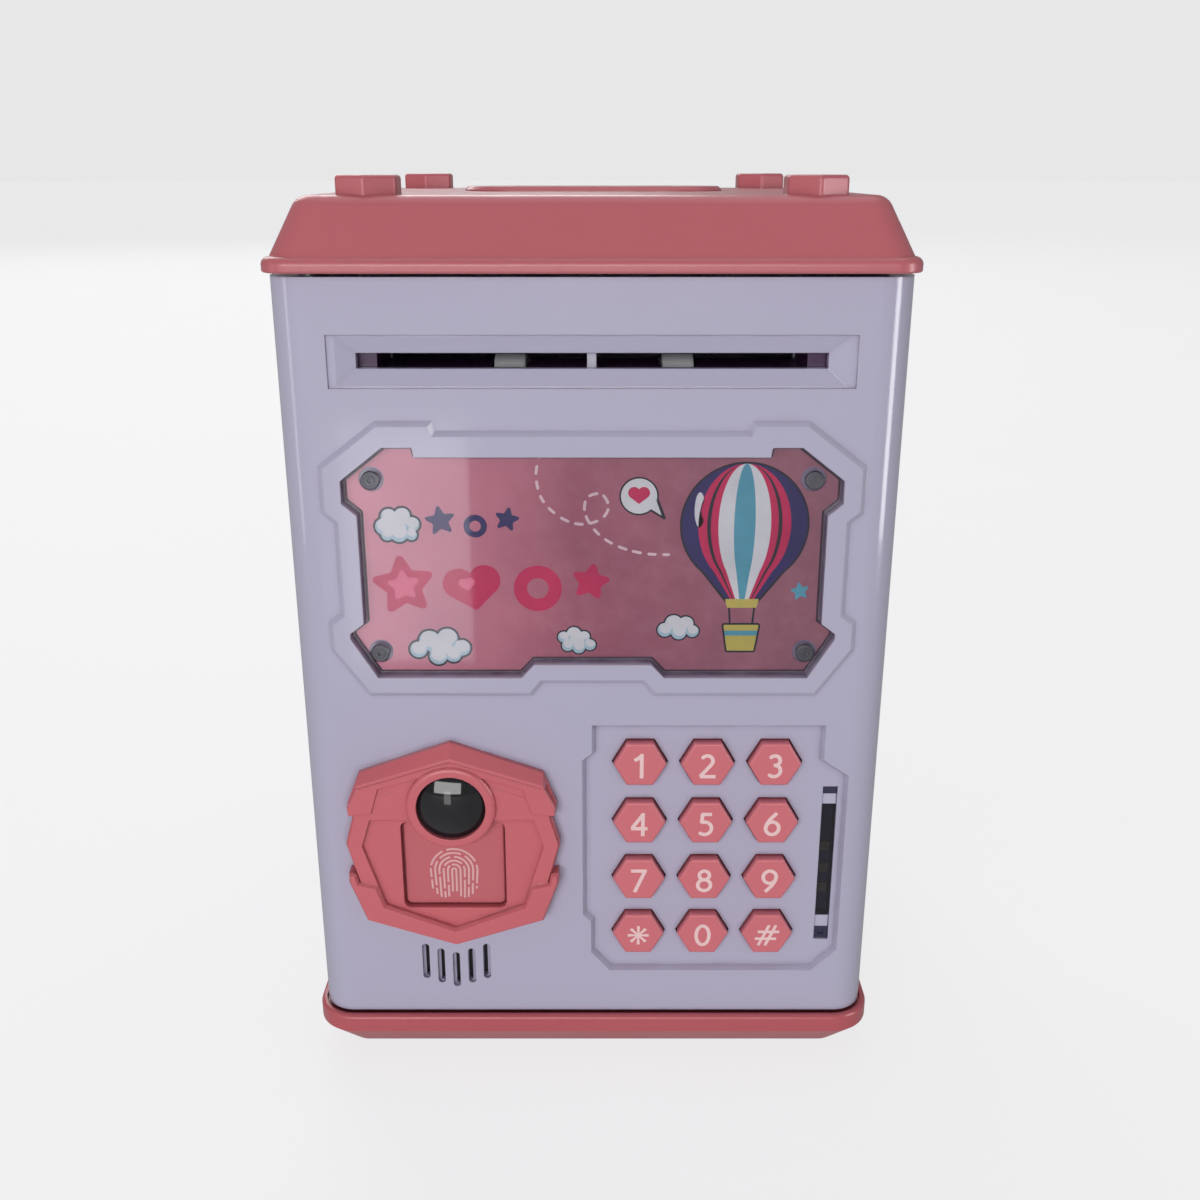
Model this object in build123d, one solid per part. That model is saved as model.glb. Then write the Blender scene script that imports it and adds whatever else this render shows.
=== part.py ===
from build123d import *
import math, os

os.makedirs("parts", exist_ok=True)

# ---------------------------------------------------------------------------
# Toy safe coin bank.  Millimetres.  +Z up, front at -Y, +X to the right when
# facing the front.  Origin: bottom centre of the whole object.
# ---------------------------------------------------------------------------

# ---- driving dimensions ----
BODY_HW = 61.8          # half width of the white body
Y_FRONT = -58.0         # front plane of the door (before the centring shift)
Y_SEAM_D = -31.3        # rear edge of the door
Y_SEAM_S = -30.7        # front edge of the main shell
Y_BACK = 58.0           # back of the main shell
R_VERT = 7.0            # vertical edge radius of the body
WALL = 2.4              # plastic wall
Z_FLOOR = 10.8          # floor of the base pocket = bottom of the main shell
Z_RIM = 11.6            # top of the base rim
Z_DOOR0 = 12.0          # door bottom
Z_DOOR1 = 175.0         # door top
Z_DECK0 = 175.7         # underside of the deck = bottom of the roof lip
Z_DECK1 = 178.2         # top of the deck
ROOF_HW, ROOF_HD = 62.5, 60.0     # roof lip half width, half depth
Z_LIP = 178.6           # crease above the lip
Z_ROOF = 189.5          # flat top of the roof
BASE_HW, BASE_HD = 63.5, 60.0     # base half width, half depth
BASE_R = 9.0
Z_CREASE = 7.6          # crease of the base, chamfer below it
Z_BASE0 = 0.6           # underside of the base; the feet stand below it
HINGE_X, HINGE_Y = -57.8, -35.0   # door hinge axis
PIN_R = 1.5
PIN_CLEAR = 0.05
LATCH_Z = 115.0         # height of the latch bolt
LATCH_TRAVEL = 4.0
KEY_TRAVEL = 1.0
PAD_TRAVEL = 0.8
KEY_X = (10.06, 24.43, 38.8)     # keypad columns
KEY_Z = (74.2, 60.24, 46.28, 32.32)  # keypad rows
BADGE_X = -30.2         # centre line of the lock badge
LENS_Z = 65.7
RING_T = 5.2            # how far the lens stands out of the door
RING_F = 4.2            # front of the ring round the lens
SLOT_Z = 159.2          # note slot centre height
DRIVE_R, PINCH_R = 6.0, 3.5       # feeder wheels
ROLL_Y = -44.0
DRIVE_Z = 153.0
PINCH_Z = 162.85
GEAR_M, GEAR_N, PINION_N = 0.6, 24, 10
GEAR_C = GEAR_M * (GEAR_N + PINION_N) / 2
Y_SHIFT = RING_T / 2 - 1.0        # puts the box centre on the origin



def box(x0, x1, y0, y1, z0, z1):
    return Pos((x0 + x1) / 2, (y0 + y1) / 2, (z0 + z1) / 2) * Box(x1 - x0, y1 - y0, z1 - z0)


def cyl_y(x, z, r, y0, y1):
    return Pos(x, (y0 + y1) / 2, z) * Rot(90, 0, 0) * Cylinder(r, y1 - y0)


def cyl_x(y, z, r, x0, x1):
    return Pos((x0 + x1) / 2, y, z) * Rot(0, 90, 0) * Cylinder(r, x1 - x0)


def cyl_z(x, y, r, z0, z1):
    return Pos(x, y, (z0 + z1) / 2) * Cylinder(r, z1 - z0)


def yt(t):
    """Y of a plane standing t proud of the door's front plane."""
    return Y_FRONT - t


def xz_face(pts, y):
    return make_face(Polyline(*[(x, y, z) for x, z in pts], close=True))


def plate(pts, t0, t1):
    """Flat plate with an X-Z outline between t0 and t1 proud of the door."""
    return extrude(xz_face(pts, yt(t1)), amount=t1 - t0, dir=(0, 1, 0))


def frustum(p0, t0, p1, t1):
    """Bevelled plate: outline p0 at t0, outline p1 at t1."""
    return loft([xz_face(p0, yt(t0)), xz_face(p1, yt(t1))], ruled=True)


def area2(pts):
    return sum(pts[i][0] * pts[(i + 1) % len(pts)][1] - pts[(i + 1) % len(pts)][0] * pts[i][1] for i in range(len(pts)))


def inset(pts, d):
    """Mitred inward offset of a closed outline."""
    s = 1 if area2(pts) > 0 else -1
    n = len(pts)
    out = []
    for i in range(n):
        ax, az = pts[i - 1]
        bx, bz = pts[i]
        cx, cz = pts[(i + 1) % n]
        e1 = (bx - ax, bz - az)
        e2 = (cx - bx, cz - bz)
        l1, l2 = math.hypot(*e1), math.hypot(*e2)
        n1 = (-e1[1] / l1 * s, e1[0] / l1 * s)
        n2 = (-e2[1] / l2 * s, e2[0] / l2 * s)
        k = 1 + n1[0] * n2[0] + n1[1] * n2[1]
        out.append((bx + d * (n1[0] + n2[0]) / k, bz + d * (n1[1] + n2[1]) / k))
    return out


def mirror_pts(right, cx=0.0):
    """Right-hand half outline (top to bottom, first and last may be on the
    centre line) made into a closed symmetric outline."""
    r = [(cx + x, z) for x, z in right]
    l = [(cx - x, z) for x, z in reversed(right) if abs(x) > 1e-9]
    return r + l


def rrect_xz(x0, x1, z0, z1, r, y, depth):
    """Rounded-corner block in X-Z, from y to y+depth."""
    f = Pos((x0 + x1) / 2, y, (z0 + z1) / 2) * Rot(90, 0, 0) * RectangleRounded(x1 - x0, z1 - z0, r)
    return extrude(f, amount=depth, dir=(0, 1, 0))


def rr_plan(hw, y0, y1, r, z):
    return Pos(0, (y0 + y1) / 2, z) * RectangleRounded(2 * hw, y1 - y0, r)


def screw_y(x, z, y_head, head_h, shank, head_r=2.3, shank_r=1.1, toward=-1):
    """Pan head screw along Y with a cross recess. The head starts at y_head and
    the shank points toward -Y (toward=-1) or +Y (toward=1)."""
    if toward < 0:
        h = cyl_y(x, z, head_r, y_head, y_head + head_h)
        s = cyl_y(x, z, shank_r, y_head - shank, y_head)
        yo = y_head + head_h
        c = box(x - 1.3, x + 1.3, yo - 0.6, yo + 1, z - 0.3, z + 0.3) + box(x - 0.3, x + 0.3, yo - 0.6, yo + 1, z - 1.3, z + 1.3)
    else:
        h = cyl_y(x, z, head_r, y_head - head_h, y_head)
        s = cyl_y(x, z, shank_r, y_head, y_head + shank)
        yo = y_head - head_h
        c = box(x - 1.3, x + 1.3, yo - 1, yo + 0.6, z - 0.3, z + 0.3) + box(x - 0.3, x + 0.3, yo - 1, yo + 0.6, z - 1.3, z + 1.3)
    return h + s - c


def gear(n, m, x0, x1, y, z, bore, phase):
    """Spur gear about an X axis with trapezoid teeth."""
    rp = m * n / 2
    ra, rf = rp + 0.85 * m, rp - 1.2 * m
    p = 2 * math.pi / n
    pts = []
    for i in range(n):
        a = phase + i * p
        for r, w in ((rf, 0.62), (rp, 0.455), (ra, 0.22)):
            pts.append((r, a - p * w / 2))
        for r, w in ((ra, 0.22), (rp, 0.455), (rf, 0.62)):
            pts.append((r, a + p * w / 2))
    wire = Polyline(*[(x0, y + r * math.cos(a), z + r * math.sin(a)) for r, a in pts], close=True)
    g = extrude(make_face(wire), amount=x1 - x0, dir=(1, 0, 0))
    return g - cyl_x(y, z, bore, x0 - 1, x1 + 1)


nodes = {}

# ---------------------------------------------------------------------------
# Outlines on the door front (X, Z)
# ---------------------------------------------------------------------------
# window of the picture panel
WIN = [(-34.9, 140.85), (-35.2, 142.75), (-41.1, 142.75), (-49.6, 136.1), (-49.6, 131.5),
       (-46.7, 129.0), (-46.7, 106.3), (-49.6, 104.1), (-49.6, 102.9), (-44.4, 94.4),
       (-14.75, 94.4), (-12.1, 97.3), (12.1, 97.3), (14.75, 94.4), (44.4, 94.4), (49.6, 102.9),
       (49.6, 104.1), (46.7, 106.3), (46.7, 129.0), (49.6, 131.5), (49.6, 136.1), (41.1, 142.75),
       (35.2, 142.75), (34.9, 140.85)]
# outer line of the raised frame round the window
FRM = [(-30.5, 146.0), (-31.2, 147.95), (-42.3, 147.95), (-54.0, 139.0), (-54.0, 129.4),
       (-51.5, 127.3), (-51.5, 108.4), (-54.0, 106.6), (-54.0, 100.4), (-46.5, 90.05),
       (-12.6, 90.05), (-10.3, 92.9), (10.3, 92.9), (12.6, 90.05), (46.5, 90.05), (54.0, 100.4),
       (54.0, 106.6), (51.5, 108.4), (51.5, 127.3), (54.0, 129.4), (54.0, 139.0), (42.3, 147.95),
       (31.2, 147.95), (30.5, 146.0)]
# keypad recess
PADREC = [(-0.2, 83.2), (49.2, 83.2), (49.2, 75.1), (54.7, 71.4), (54.7, 27.9), (49.3, 22.5),
          (3.7, 22.5), (-0.5, 27.4), (-0.5, 35.3), (-2.3, 37.0), (-2.3, 75.0), (-0.2, 76.7)]


def hexpts(x, z, hw, hh, ht):
    return [(x - hw, z), (x - ht, z + hh), (x + ht, z + hh), (x + hw, z), (x + ht, z - hh), (x - ht, z - hh)]


# ---------------------------------------------------------------------------
# Base plinth
# ---------------------------------------------------------------------------
low = loft([rr_plan(57.2, -53.7, 53.7, 4.5, Z_BASE0), rr_plan(BASE_HW, -BASE_HD, BASE_HD, BASE_R, Z_CREASE)], ruled=True)
up = extrude(rr_plan(BASE_HW, -BASE_HD, BASE_HD, BASE_R, Z_CREASE), amount=Z_RIM - Z_CREASE)
up = fillet(up.edges().group_by(Axis.Z)[-1], 0.9)
base = low + up
base -= extrude(rr_plan(62.2, -58.6, 58.6, 7.6, Z_FLOOR), amount=5)
CX, CY = 15.4, 14.5
FEET = [(3, 3), (3, -3), (-3, 3), (-3, -3)]
BSCR = [(49.5, -14.5), (49.5, 29.0), (-49.5, -14.5), (-49.5, 29.0)]
solid_cells = set(FEET) | {(3, -1), (3, 2), (-3, -1), (-3, 2)}
for i in range(-3, 4):
    for j in range(-3, 4):
        if (i, j) in solid_cells:
            continue
        base -= box(i * CX - 7.0, i * CX + 7.0, j * CY - 6.55, j * CY + 6.55, Z_BASE0 - 1, 8.2)
for i, j in FEET:
    base -= cyl_z(i * CX, j * CY, 5.0, Z_BASE0 - 1, 2.6)
for x, y in BSCR:
    base -= cyl_z(x, y, 1.3, 0, 12)
    base -= cyl_z(x, y, 2.7, 0, 4.6)
base -= cyl_z(HINGE_X, HINGE_Y, PIN_R, 6.0, 12)
base -= box(53.3, 55.2, -58.5, -56.9, 8.4, 12)      # small release notch under the door corner
nodes["base_plinth"] = base

feet = [cyl_z(i * CX, j * CY, 5.0, 0, 2.6) for i, j in FEET]
feet = [fillet(f.edges().group_by(Axis.Z)[0], 0.5) for f in feet]
nodes["rubber_feet"] = feet


def screw_z(x, y, z_head, head_h, shank, head_r=2.4, shank_r=1.3):
    """Flat head screw pointing up, head from z_head upward."""
    s = cyl_z(x, y, head_r, z_head, z_head + head_h) + cyl_z(x, y, shank_r, z_head + head_h, z_head + head_h + shank)
    s -= box(x - 1.4, x + 1.4, y - 0.3, y + 0.3, z_head - 1, z_head + 0.6)
    s -= box(x - 0.3, x + 0.3, y - 1.4, y + 1.4, z_head - 1, z_head + 0.6)
    return s


nodes["base_screws"] = [screw_z(x, y, 2.9, 1.7, 12.4) for x, y in BSCR]

# ---------------------------------------------------------------------------
# Main shell: side walls, back, deck, front frame
# ---------------------------------------------------------------------------
def ushape(hw, yb, r, z0, z1, y0=Y_SEAM_S):
    """Block, square at its front plane and rounded at the back corners."""
    f = Rectangle(2 * hw, yb - y0)
    f = Pos(0, (yb + y0) / 2, z0) * f
    f = fillet(f.vertices().group_by(Axis.Y)[-1], r)
    return extrude(f, amount=z1 - z0)


shell = ushape(BODY_HW, Y_BACK, R_VERT, Z_FLOOR, Z_DECK0)
shell -= ushape(BODY_HW - WALL, Y_BACK - WALL, R_VERT - WALL, Z_FLOOR - 1, Z_DECK0 + 1, Y_SEAM_S - 5)
# front frame flange
ring = box(-59.6, 59.6, Y_SEAM_S, Y_SEAM_S + 2.5, Z_FLOOR, Z_DECK0)
ring -= box(-51.5, 51.5, Y_SEAM_S - 1, Y_SEAM_S + 4, 17.0, 168.0)
shell += ring
# bottom side flanges with screw bosses
for s in (-1, 1):
    a, b = sorted((s * 45.0, s * 59.6))
    shell += box(a, b, Y_SEAM_S + 1, 52.0, Z_FLOOR, 13.2)
for x, y in BSCR:
    shell += cyl_z(x, y, 3.2, Z_FLOOR, 19.0)
for x, y in BSCR:
    shell -= cyl_z(x, y, 1.3, Z_FLOOR - 1, 17.0)
# thickening under the deck
top = ushape(BODY_HW - 1.0, Y_BACK - 1.0, R_VERT - 1.0, 171.5, Z_DECK0)
top -= ushape(57.0, 53.2, 3.0, 171.0, Z_DECK0 + 1, Y_SEAM_S + 2.4)
shell += top
# deck, reaching forward over the door as a soffit
deck = extrude(rr_plan(60.3, -57.8, 57.8, 5.0, Z_DECK0), amount=Z_DECK1 - Z_DECK0)
shell += deck
shell -= box(-20.0, 20.0, -4.5, 4.5, Z_DECK0 - 1, Z_DECK1 + 1)       # coins fall through here
RSCR = [(46.0, -46.0), (-46.0, -46.0), (46.0, 44.0), (-46.0, 44.0)]
for x, y in RSCR:
    shell -= cyl_z(x, y, 1.3, Z_DECK0 - 1, Z_DECK1 + 1)
    shell -= cyl_z(x, y, 2.6, Z_DECK0 - 1, Z_DECK0 + 1.4)
shell -= cyl_z(HINGE_X, HINGE_Y, PIN_R, Z_DECK0 - 1, Z_DECK1 + 1)
# shallow grip grooves cast into the back wall
for k in range(7):
    z = 52.0 + k * 6.0
    shell -= box(-24.0, 24.0, Y_BACK - 0.6, Y_BACK + 1, z, z + 1.6)
# pilot holes for the strike
for dz in (-8.5, 8.5):
    shell -= cyl_y(55.3, LATCH_Z + dz, 0.9, Y_SEAM_S + 0.6, Y_SEAM_S + 4)
nodes["main_shell"] = shell

nodes["roof_screws"] = [screw_z(x, y, Z_DECK0, 1.3, 8.5, 2.5) for x, y in RSCR]

# ---------------------------------------------------------------------------
# Roof
# ---------------------------------------------------------------------------
lip = extrude(rr_plan(ROOF_HW, -ROOF_HD, ROOF_HD, 5.5, Z_DECK0), amount=Z_LIP - Z_DECK0)
lip = fillet(lip.edges().group_by(Axis.Z)[-1], 1.5)
lip = fillet(lip.edges().group_by(Axis.Z)[0], 0.5)
K = 0.483
hs = lambda z: 61.5 - (z - (Z_LIP - 0.4)) * K
hd = lambda z: 59.0 - (z - (Z_LIP - 0.4)) * K
hip = loft([rr_plan(hs(178.2), -hd(178.2), hd(178.2), 6.5, 178.2), rr_plan(hs(Z_ROOF), -hd(Z_ROOF), hd(Z_ROOF), 4.5, Z_ROOF)], ruled=True)
try:
    hip = fillet(hip.edges().group_by(Axis.Z)[-1], 3.6)
except Exception as e:
    print("roof edge fillet reduced", e)
    hip = fillet(hip.edges().group_by(Axis.Z)[-1], 2.0)
roof = lip + hip
plateau = extrude(Pos(0, 0, Z_ROOF - 0.5) * SlotOverall(58, 22), amount=1.5)
plateau = chamfer(plateau.edges().group_by(Axis.Z)[-1], 0.7)
roof += plateau
STUDS = [(43, 45.5), (-43, 45.5), (43, -45.5), (-43, -45.5)]
for x, y in STUDS:
    hx = Pos(x, y, Z_ROOF - 0.5) * Rot(0, 0, 30) * RegularPolygon(11.7 / 2, 6, major_radius=False)
    st = extrude(hx, amount=4.1)
    st = fillet(st.edges().filter_by(Axis.Z), 0.9)
    st = fillet(st.edges().group_by(Axis.Z)[-1], 0.8)
    roof += st
# hollow
inner = extrude(rr_plan(60.45, -57.95, 57.95, 5.1, Z_DECK0 - 1), amount=Z_DECK1 + 0.2 - Z_DECK0 + 1)
inner2 = loft([rr_plan(hs(178.4) - 2.5, -hd(178.4) + 2.5, hd(178.4) - 2.5, 5.0, 178.4), rr_plan(hs(187.0) - 2.6, -hd(187.0) + 2.6, hd(187.0) - 2.6, 3.0, 187.0)], ruled=True)
roof -= inner
roof -= inner2
# screw bosses and coin chute
for x, y in RSCR:
    roof += cyl_z(x, y, 3.5, Z_DECK1, 187.2)
roof += box(-20.0, 20.0, -4.2, 4.2, Z_DECK1, 187.2)
for x, y in RSCR:
    roof -= cyl_z(x, y, 1.3, Z_DECK1 - 1, 185.5)
roof -= extrude(Pos(0, 0, 170) * RectangleRounded(36.0, 4.8, 1.2), amount=30)
# funnel round the slot mouth
mouth = loft([Pos(0, 0, 189.6) * RectangleRounded(36.0, 4.8, 1.2), Pos(0, 0, 190.55) * RectangleRounded(38.0, 6.8, 2.0)], ruled=True)
roof -= mouth
nodes["roof_cap"] = roof

# ---------------------------------------------------------------------------
# Hinge pins
# ---------------------------------------------------------------------------
p1 = cyl_z(HINGE_X, HINGE_Y, PIN_R, 166.5, Z_DECK1)
p2 = cyl_z(HINGE_X, HINGE_Y, PIN_R, 6.0, 20.0)
p1 = chamfer(p1.edges().group_by(Axis.Z)[0], 0.4)
p2 = chamfer(p2.edges().group_by(Axis.Z)[-1], 0.4)
nodes["hinge_pins"] = [p1, p2]

# ---------------------------------------------------------------------------
# Door shell
# ---------------------------------------------------------------------------
def door_plan(hw, yf, yr, rf, rl, rr, z, xl=None):
    xl = -hw if xl is None else xl
    f = make_face(Polyline((xl, yf, z), (hw, yf, z), (hw, yr, z), (xl, yr, z), close=True))
    vs = f.vertices()
    fr = [v for v in vs if v.Y < (yf + yr) / 2]
    f = fillet(fr, rf)
    if rl > 0:
        f = fillet([v for v in f.vertices() if v.Y > yr - 0.01 and v.X < 0], rl)
    if rr > 0:
        f = fillet([v for v in f.vertices() if v.Y > yr - 0.01 and v.X > 0], rr)
    return f


door = extrude(door_plan(BODY_HW, Y_FRONT, Y_SEAM_D, R_VERT, 3.7, 0.5, Z_DOOR0), amount=Z_DOOR1 - Z_DOOR0)
cav = extrude(door_plan(BODY_HW - WALL, Y_FRONT + WALL, Y_SEAM_D + 5, R_VERT - WALL, 0, 0, Z_DOOR0 + WALL), amount=Z_DOOR1 - Z_DOOR0 - 2 * WALL)
cav -= extrude(make_face(Polyline((-60.0, -38.5, 0), (-57.6, -36.4, 0), (-57.6, -20, 0), (-62, -20, 0), (-62, -38.5, 0), close=True)), amount=200)
door -= cav
YI = Y_FRONT + WALL       # inner face of the front wall, -55.6
# thickened pads behind the recesses
door += box(-52.5, 52.5, YI - 0.5, -54.0, 152.0, 166.5)
door += plate(inset(FRM, -0.6), -(58 - 53.4), -1.5)
door += plate(inset(PADREC, -2.0), -(58 - 53.8), -1.5)
# hinge barrels
for z0, z1 in ((164.0, Z_DOOR1 - 1), (Z_DOOR0 + 1, 23.0)):
    door += cyl_z(HINGE_X, HINGE_Y, 3.65, z0, z1) + box(-60.5, HINGE_X, -38.6, -33.5, z0, z1)
door -= cyl_z(HINGE_X, HINGE_Y, PIN_R + PIN_CLEAR, 166.0, Z_DOOR1 + 1)
door -= cyl_z(HINGE_X, HINGE_Y, PIN_R + PIN_CLEAR, Z_DOOR0 - 1, 20.5)
# cover screw bosses
CSCR = [(-48.0, 169.0), (48.0, 169.0), (-54.75, 86.5), (56.0, 86.5), (-48.0, 17.6), (48.0, 17.6)]
Y_COV0, Y_COV1 = -34.2, -32.0
for x, z in CSCR:
    door += cyl_y(x, z, 3.2, YI - 0.5, Y_COV0)
for x, z in CSCR:
    door -= cyl_y(x, z, 1.1, -44.0, Y_COV0 + 1)
# raised frame round the window, bevelled
door += frustum(inset(FRM, 0.0), -0.4, inset(FRM, 0.0), 0.0)
door += frustum(FRM, 0.0, inset(FRM, 1.05), 1.0)
# window recess: cover plate + card
door -= plate(WIN, -2.4, 2.0)
PSCR = [(-43.95, 135.9), (43.95, 135.9), (-43.95, 99.3), (43.95, 99.3)]
for x, z in PSCR:
    door -= cyl_y(x, z, 0.9, -56.5, -53.9)
# note slot: shallow step, funnel and opening
door -= plate([(-50.8, 154.1), (50.8, 154.1), (50.8, 164.3), (-50.8, 164.3)], -0.35, 1)
door -= frustum([(-49.2, 154.4), (49.2, 154.4), (49.2, 164.0), (-49.2, 164.0)], -0.34, [(-45.5, 157.7), (45.5, 157.7), (45.5, 160.7), (-45.5, 160.7)], -1.9)
door -= box(-45.5, 45.5, -57.0, -50.0, 157.7, 160.7)
# keypad recess with bevelled wall
door -= frustum(PADREC, 0.0, inset(PADREC, 0.8), -1.6)
for z in KEY_Z:
    for x in KEY_X:
        door -= plate(hexpts(x, z, 6.05, 5.24, 3.025), -6, 0.5)
LED_X0, LED_X1, LED_Z0, LED_Z1 = 49.65, 52.85, 29.8, 68.1
door -= box(LED_X0, LED_X1, -57, -50, LED_Z0, LED_Z1)
# hole behind the fingerprint pad and lens seat
door -= rrect_xz(BADGE_X - 13.0, BADGE_X + 13.0, 38.4, 63.4, 1.5, -59.0, 6)
# badge screw holes
GSCR = [(BADGE_X - 19.6, 51.5), (BADGE_X + 19.6, 51.5), (BADGE_X, 75.2)]
for x, z in GSCR:
    door -= cyl_y(x, z, 1.15, -59, -50)
# speaker grille slots and speaker socket
SPK = [(-37.7, 25.0), (-34.3, 23.8), (-30.9, 22.8), (-27.4, 23.8), (-24.0, 25.0)]
SPK_X, SPK_Z = -30.9, 24.6
sock = cyl_y(SPK_X, SPK_Z, 11.6, YI - 0.3, -52.5) - cyl_y(SPK_X, SPK_Z, 10.05, YI - 1, -50)
sock = sock & box(-60, 60, -57, -50, Z_DOOR0 + 1, 60)
door += sock
for k, (x, z) in enumerate(SPK):
    door -= rrect_xz(x - 0.8, x + 0.8, z - 4.5, z + 4.5, 0.75, -59, 2.0)
    a, b = (-0.1, 0.7) if k < 3 else (-0.7, 0.1)
    door -= rrect_xz(x + a, x + b, z - 4.3, z + 4.3, 0.35, -59, 5)
# board posts
SBP = [(BADGE_X - 17.0, 42.0), (BADGE_X + 17.0, 42.0), (BADGE_X - 17.0, 63.0), (BADGE_X + 17.0, 63.0)]
for x, z in SBP:
    door += cyl_y(x, z, 2.2, YI - 0.3, -51.2)
for x, z in SBP:
    door -= cyl_y(x, z, 0.9, -54.5, -50)
KBP = [(5.0, 86.0), (44.0, 86.0), (52.0, 25.6), (31.6, 23.0)]
for x, z in KBP:
    door += cyl_y(x, z, 2.2, -54.2, -50.0)
for x, z in KBP:
    door -= cyl_y(x, z, 0.9, -52.9, -49)
# feeder screw bosses
FSCR = [(-34.0, 150.3), (34.0, 150.3)]
for x, z in FSCR:
    door += cyl_y(x, z, 2.6, YI - 0.3, -53.2)
for x, z in FSCR:
    door -= cyl_y(x, z, 0.9, -55.2, -50)
nodes["door_shell"] = door

# ---------------------------------------------------------------------------
# Door inner cover with the battery well
# ---------------------------------------------------------------------------
cover = box(-57.4, 59.2, Y_COV0, Y_COV1, Z_DOOR0 + WALL + 0.2, Z_DOOR1 - WALL - 0.2)
cover -= box(-60, -53.5, -40, -30, 163.0, 180.0)
cover -= box(-60, -53.5, -40, -30, 0, 24.0)
WX0, WX1, WZ0, WZ1 = -23.6, 23.6, 20.4, 77.6
well = box(WX0, WX1, -48.2, Y_COV0 + 0.5, WZ0, WZ1)
cover += well
cover -= box(WX0 + 1.2, WX1 - 1.2, -47.0, -30.0, WZ0 + 1.2, WZ1 - 1.2)
# rebate that the battery door's lip sits in
cover -= box(WX0 + 0.4, WX1 - 0.4, -33.2, -30.0, WZ0 + 0.4, WZ1 - 0.4)
# notes leave the feeder here
cover -= box(-42.0, 42.0, -40.0, -30.0, 156.2, 163.5)
# slot for the latch arm
cover -= box(42.8, 51.6, -40.0, -30.0, LATCH_Z - 3.6, LATCH_Z + 3.6)
for x, z in CSCR:
    cover -= cyl_y(x, z, 1.3, -40, -30)
for x, z in CSCR:
    cover -= cyl_y(x, z, 2.5, Y_COV1 - 1.0, -30)
# cooling grid cast in the upper half
for k in range(9):
    x = -36.0 + k * 9.0
    cover -= box(x - 3.0, x + 3.0, Y_COV1 - 0.5, -30, 126.0, 127.2)
    cover -= box(x - 3.0, x + 3.0, Y_COV1 - 0.5, -30, 130.0, 131.2)
# boss for the battery door screw
cover += box(-3.2, 3.2, -41.0, Y_COV0 + 0.5, WZ1 - 0.5, WZ1 + 6.2)
cover -= cyl_y(0, WZ1 + 3.0, 1.1, -39.5, -30)
# lock fixing holes
LSCR = [(24.5, LATCH_Z + 9.0), (24.5, LATCH_Z - 9.0), (41.0, LATCH_Z + 9.0), (41.0, LATCH_Z - 9.0)]
for x, z in LSCR:
    cover -= cyl_y(x, z, 1.1, -36, -30)
nodes["door_inner_cover"] = cover
nodes["cover_screws"] = [screw_y(x, z, Y_COV1 - 1.0, 0.9, 9.0) for x, z in CSCR]

# battery door, its screw, cells and contacts
bd = box(WX0 + 0.6, WX1 - 0.6, -33.2, -30.2, WZ0 + 0.6, WZ1 - 0.6)
bd = fillet(bd.edges().filter_by(Axis.Y), 1.0)
bd = fillet(bd.faces().sort_by(Axis.Y)[-1].edges(), 1.0)
bd -= box(WX0 + 2.0, WX1 - 2.0, -35.0, -31.4, WZ0 + 2.0, WZ1 - 2.0)
tab = box(-4.5, 4.5, Y_COV1, -30.6, WZ1 - 1.6, WZ1 + 6.4)
bd += tab
bd -= cyl_y(0, WZ1 + 3.0, 1.3, -36, -29)
for k in range(5):
    bd -= box(-9, 9, -30.8, -29.8, 28.0 + 2.6 * k, 29.2 + 2.6 * k)
nodes["battery_door"] = bd
nodes["battery_door_screw"] = screw_y(0, WZ1 + 3.0, -30.6, 1.3, 8.0)
cells = []
for k, x in enumerate((-14.4, 0.0, 14.4)):
    c = cyl_z(x, -39.3, 7.0, 24.6, 73.6)
    c = fillet(c.edges(), 0.6)
    up_end = (k != 1)
    c += cyl_z(x, -39.3, 2.6, 73.5, 74.8) if up_end else cyl_z(x, -39.3, 2.6, 23.4, 24.7)
    cells.append(c)
nodes["battery_cells"] = cells
cont = []
for k, x in enumerate((-14.4, 0.0, 14.4)):
    zt0, zt1 = (74.8, 75.6) if k != 1 else (73.6, 75.6)
    zb0, zb1 = (21.6, 24.6) if k != 1 else (21.6, 23.4)
    cont.append(cyl_z(x, -39.3, 4.2, zt0, zt1) if k != 1 else cyl_z(x, -39.3, 3.6, zt0, zt1))
    cont.append(cyl_z(x, -39.3, 3.6, zb0, zb1))
cont.append(box(-20.0, 5.0, -43.5, -35.1, 75.6, 76.3))
cont.append(box(9.5, 20.0, -43.5, -35.1, 75.6, 76.3))
top_left = cont[0] + cont[2] + cont[6]
top_right = cont[4] + cont[7]
bot_l = cont[1] + box(-20.0, -9.0, -43.5, -35.1, 21.6, 22.0)
bot_r = cont[3] + cont[5] + box(-5.0, 20.0, -43.5, -35.1, 21.6, 22.0)
nodes["battery_contacts"] = [top_left, top_right, bot_l, bot_r]

# ---------------------------------------------------------------------------
# Picture panel: printed card, clear cover, screws
# ---------------------------------------------------------------------------
card = plate(inset(WIN, 0.28), -2.4, -2.0)
for x, z in PSCR:
    card -= cyl_y(x, z, 2.5, -57, -55)
nodes["picture_card"] = card
clear = plate(inset(WIN, 0.25), -1.85, -0.4)
for x, z in PSCR:
    clear -= cyl_y(x, z, 1.2, -60, -53)
    clear -= cyl_y(x, z, 2.02, -58.5, -56.9)
nodes["picture_cover"] = clear
pscrews = []
for x, z in PSCR:
    sc = cyl_y(x, z, 1.88, -57.5, -56.9) + cyl_y(x, z, 0.9, -56.9, -53.9)
    sc = chamfer(sc.faces().sort_by(Axis.Y)[0].edges(), 0.2)
    sc -= cyl_y(x, z, 1.3, -58, -57.28) - cyl_y(x, z, 0.9, -58, -57)      # ring groove
    sc -= cyl_y(x, z, 0.52, -58, -57.05)                                    # socket
    pscrews.append(sc)
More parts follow.
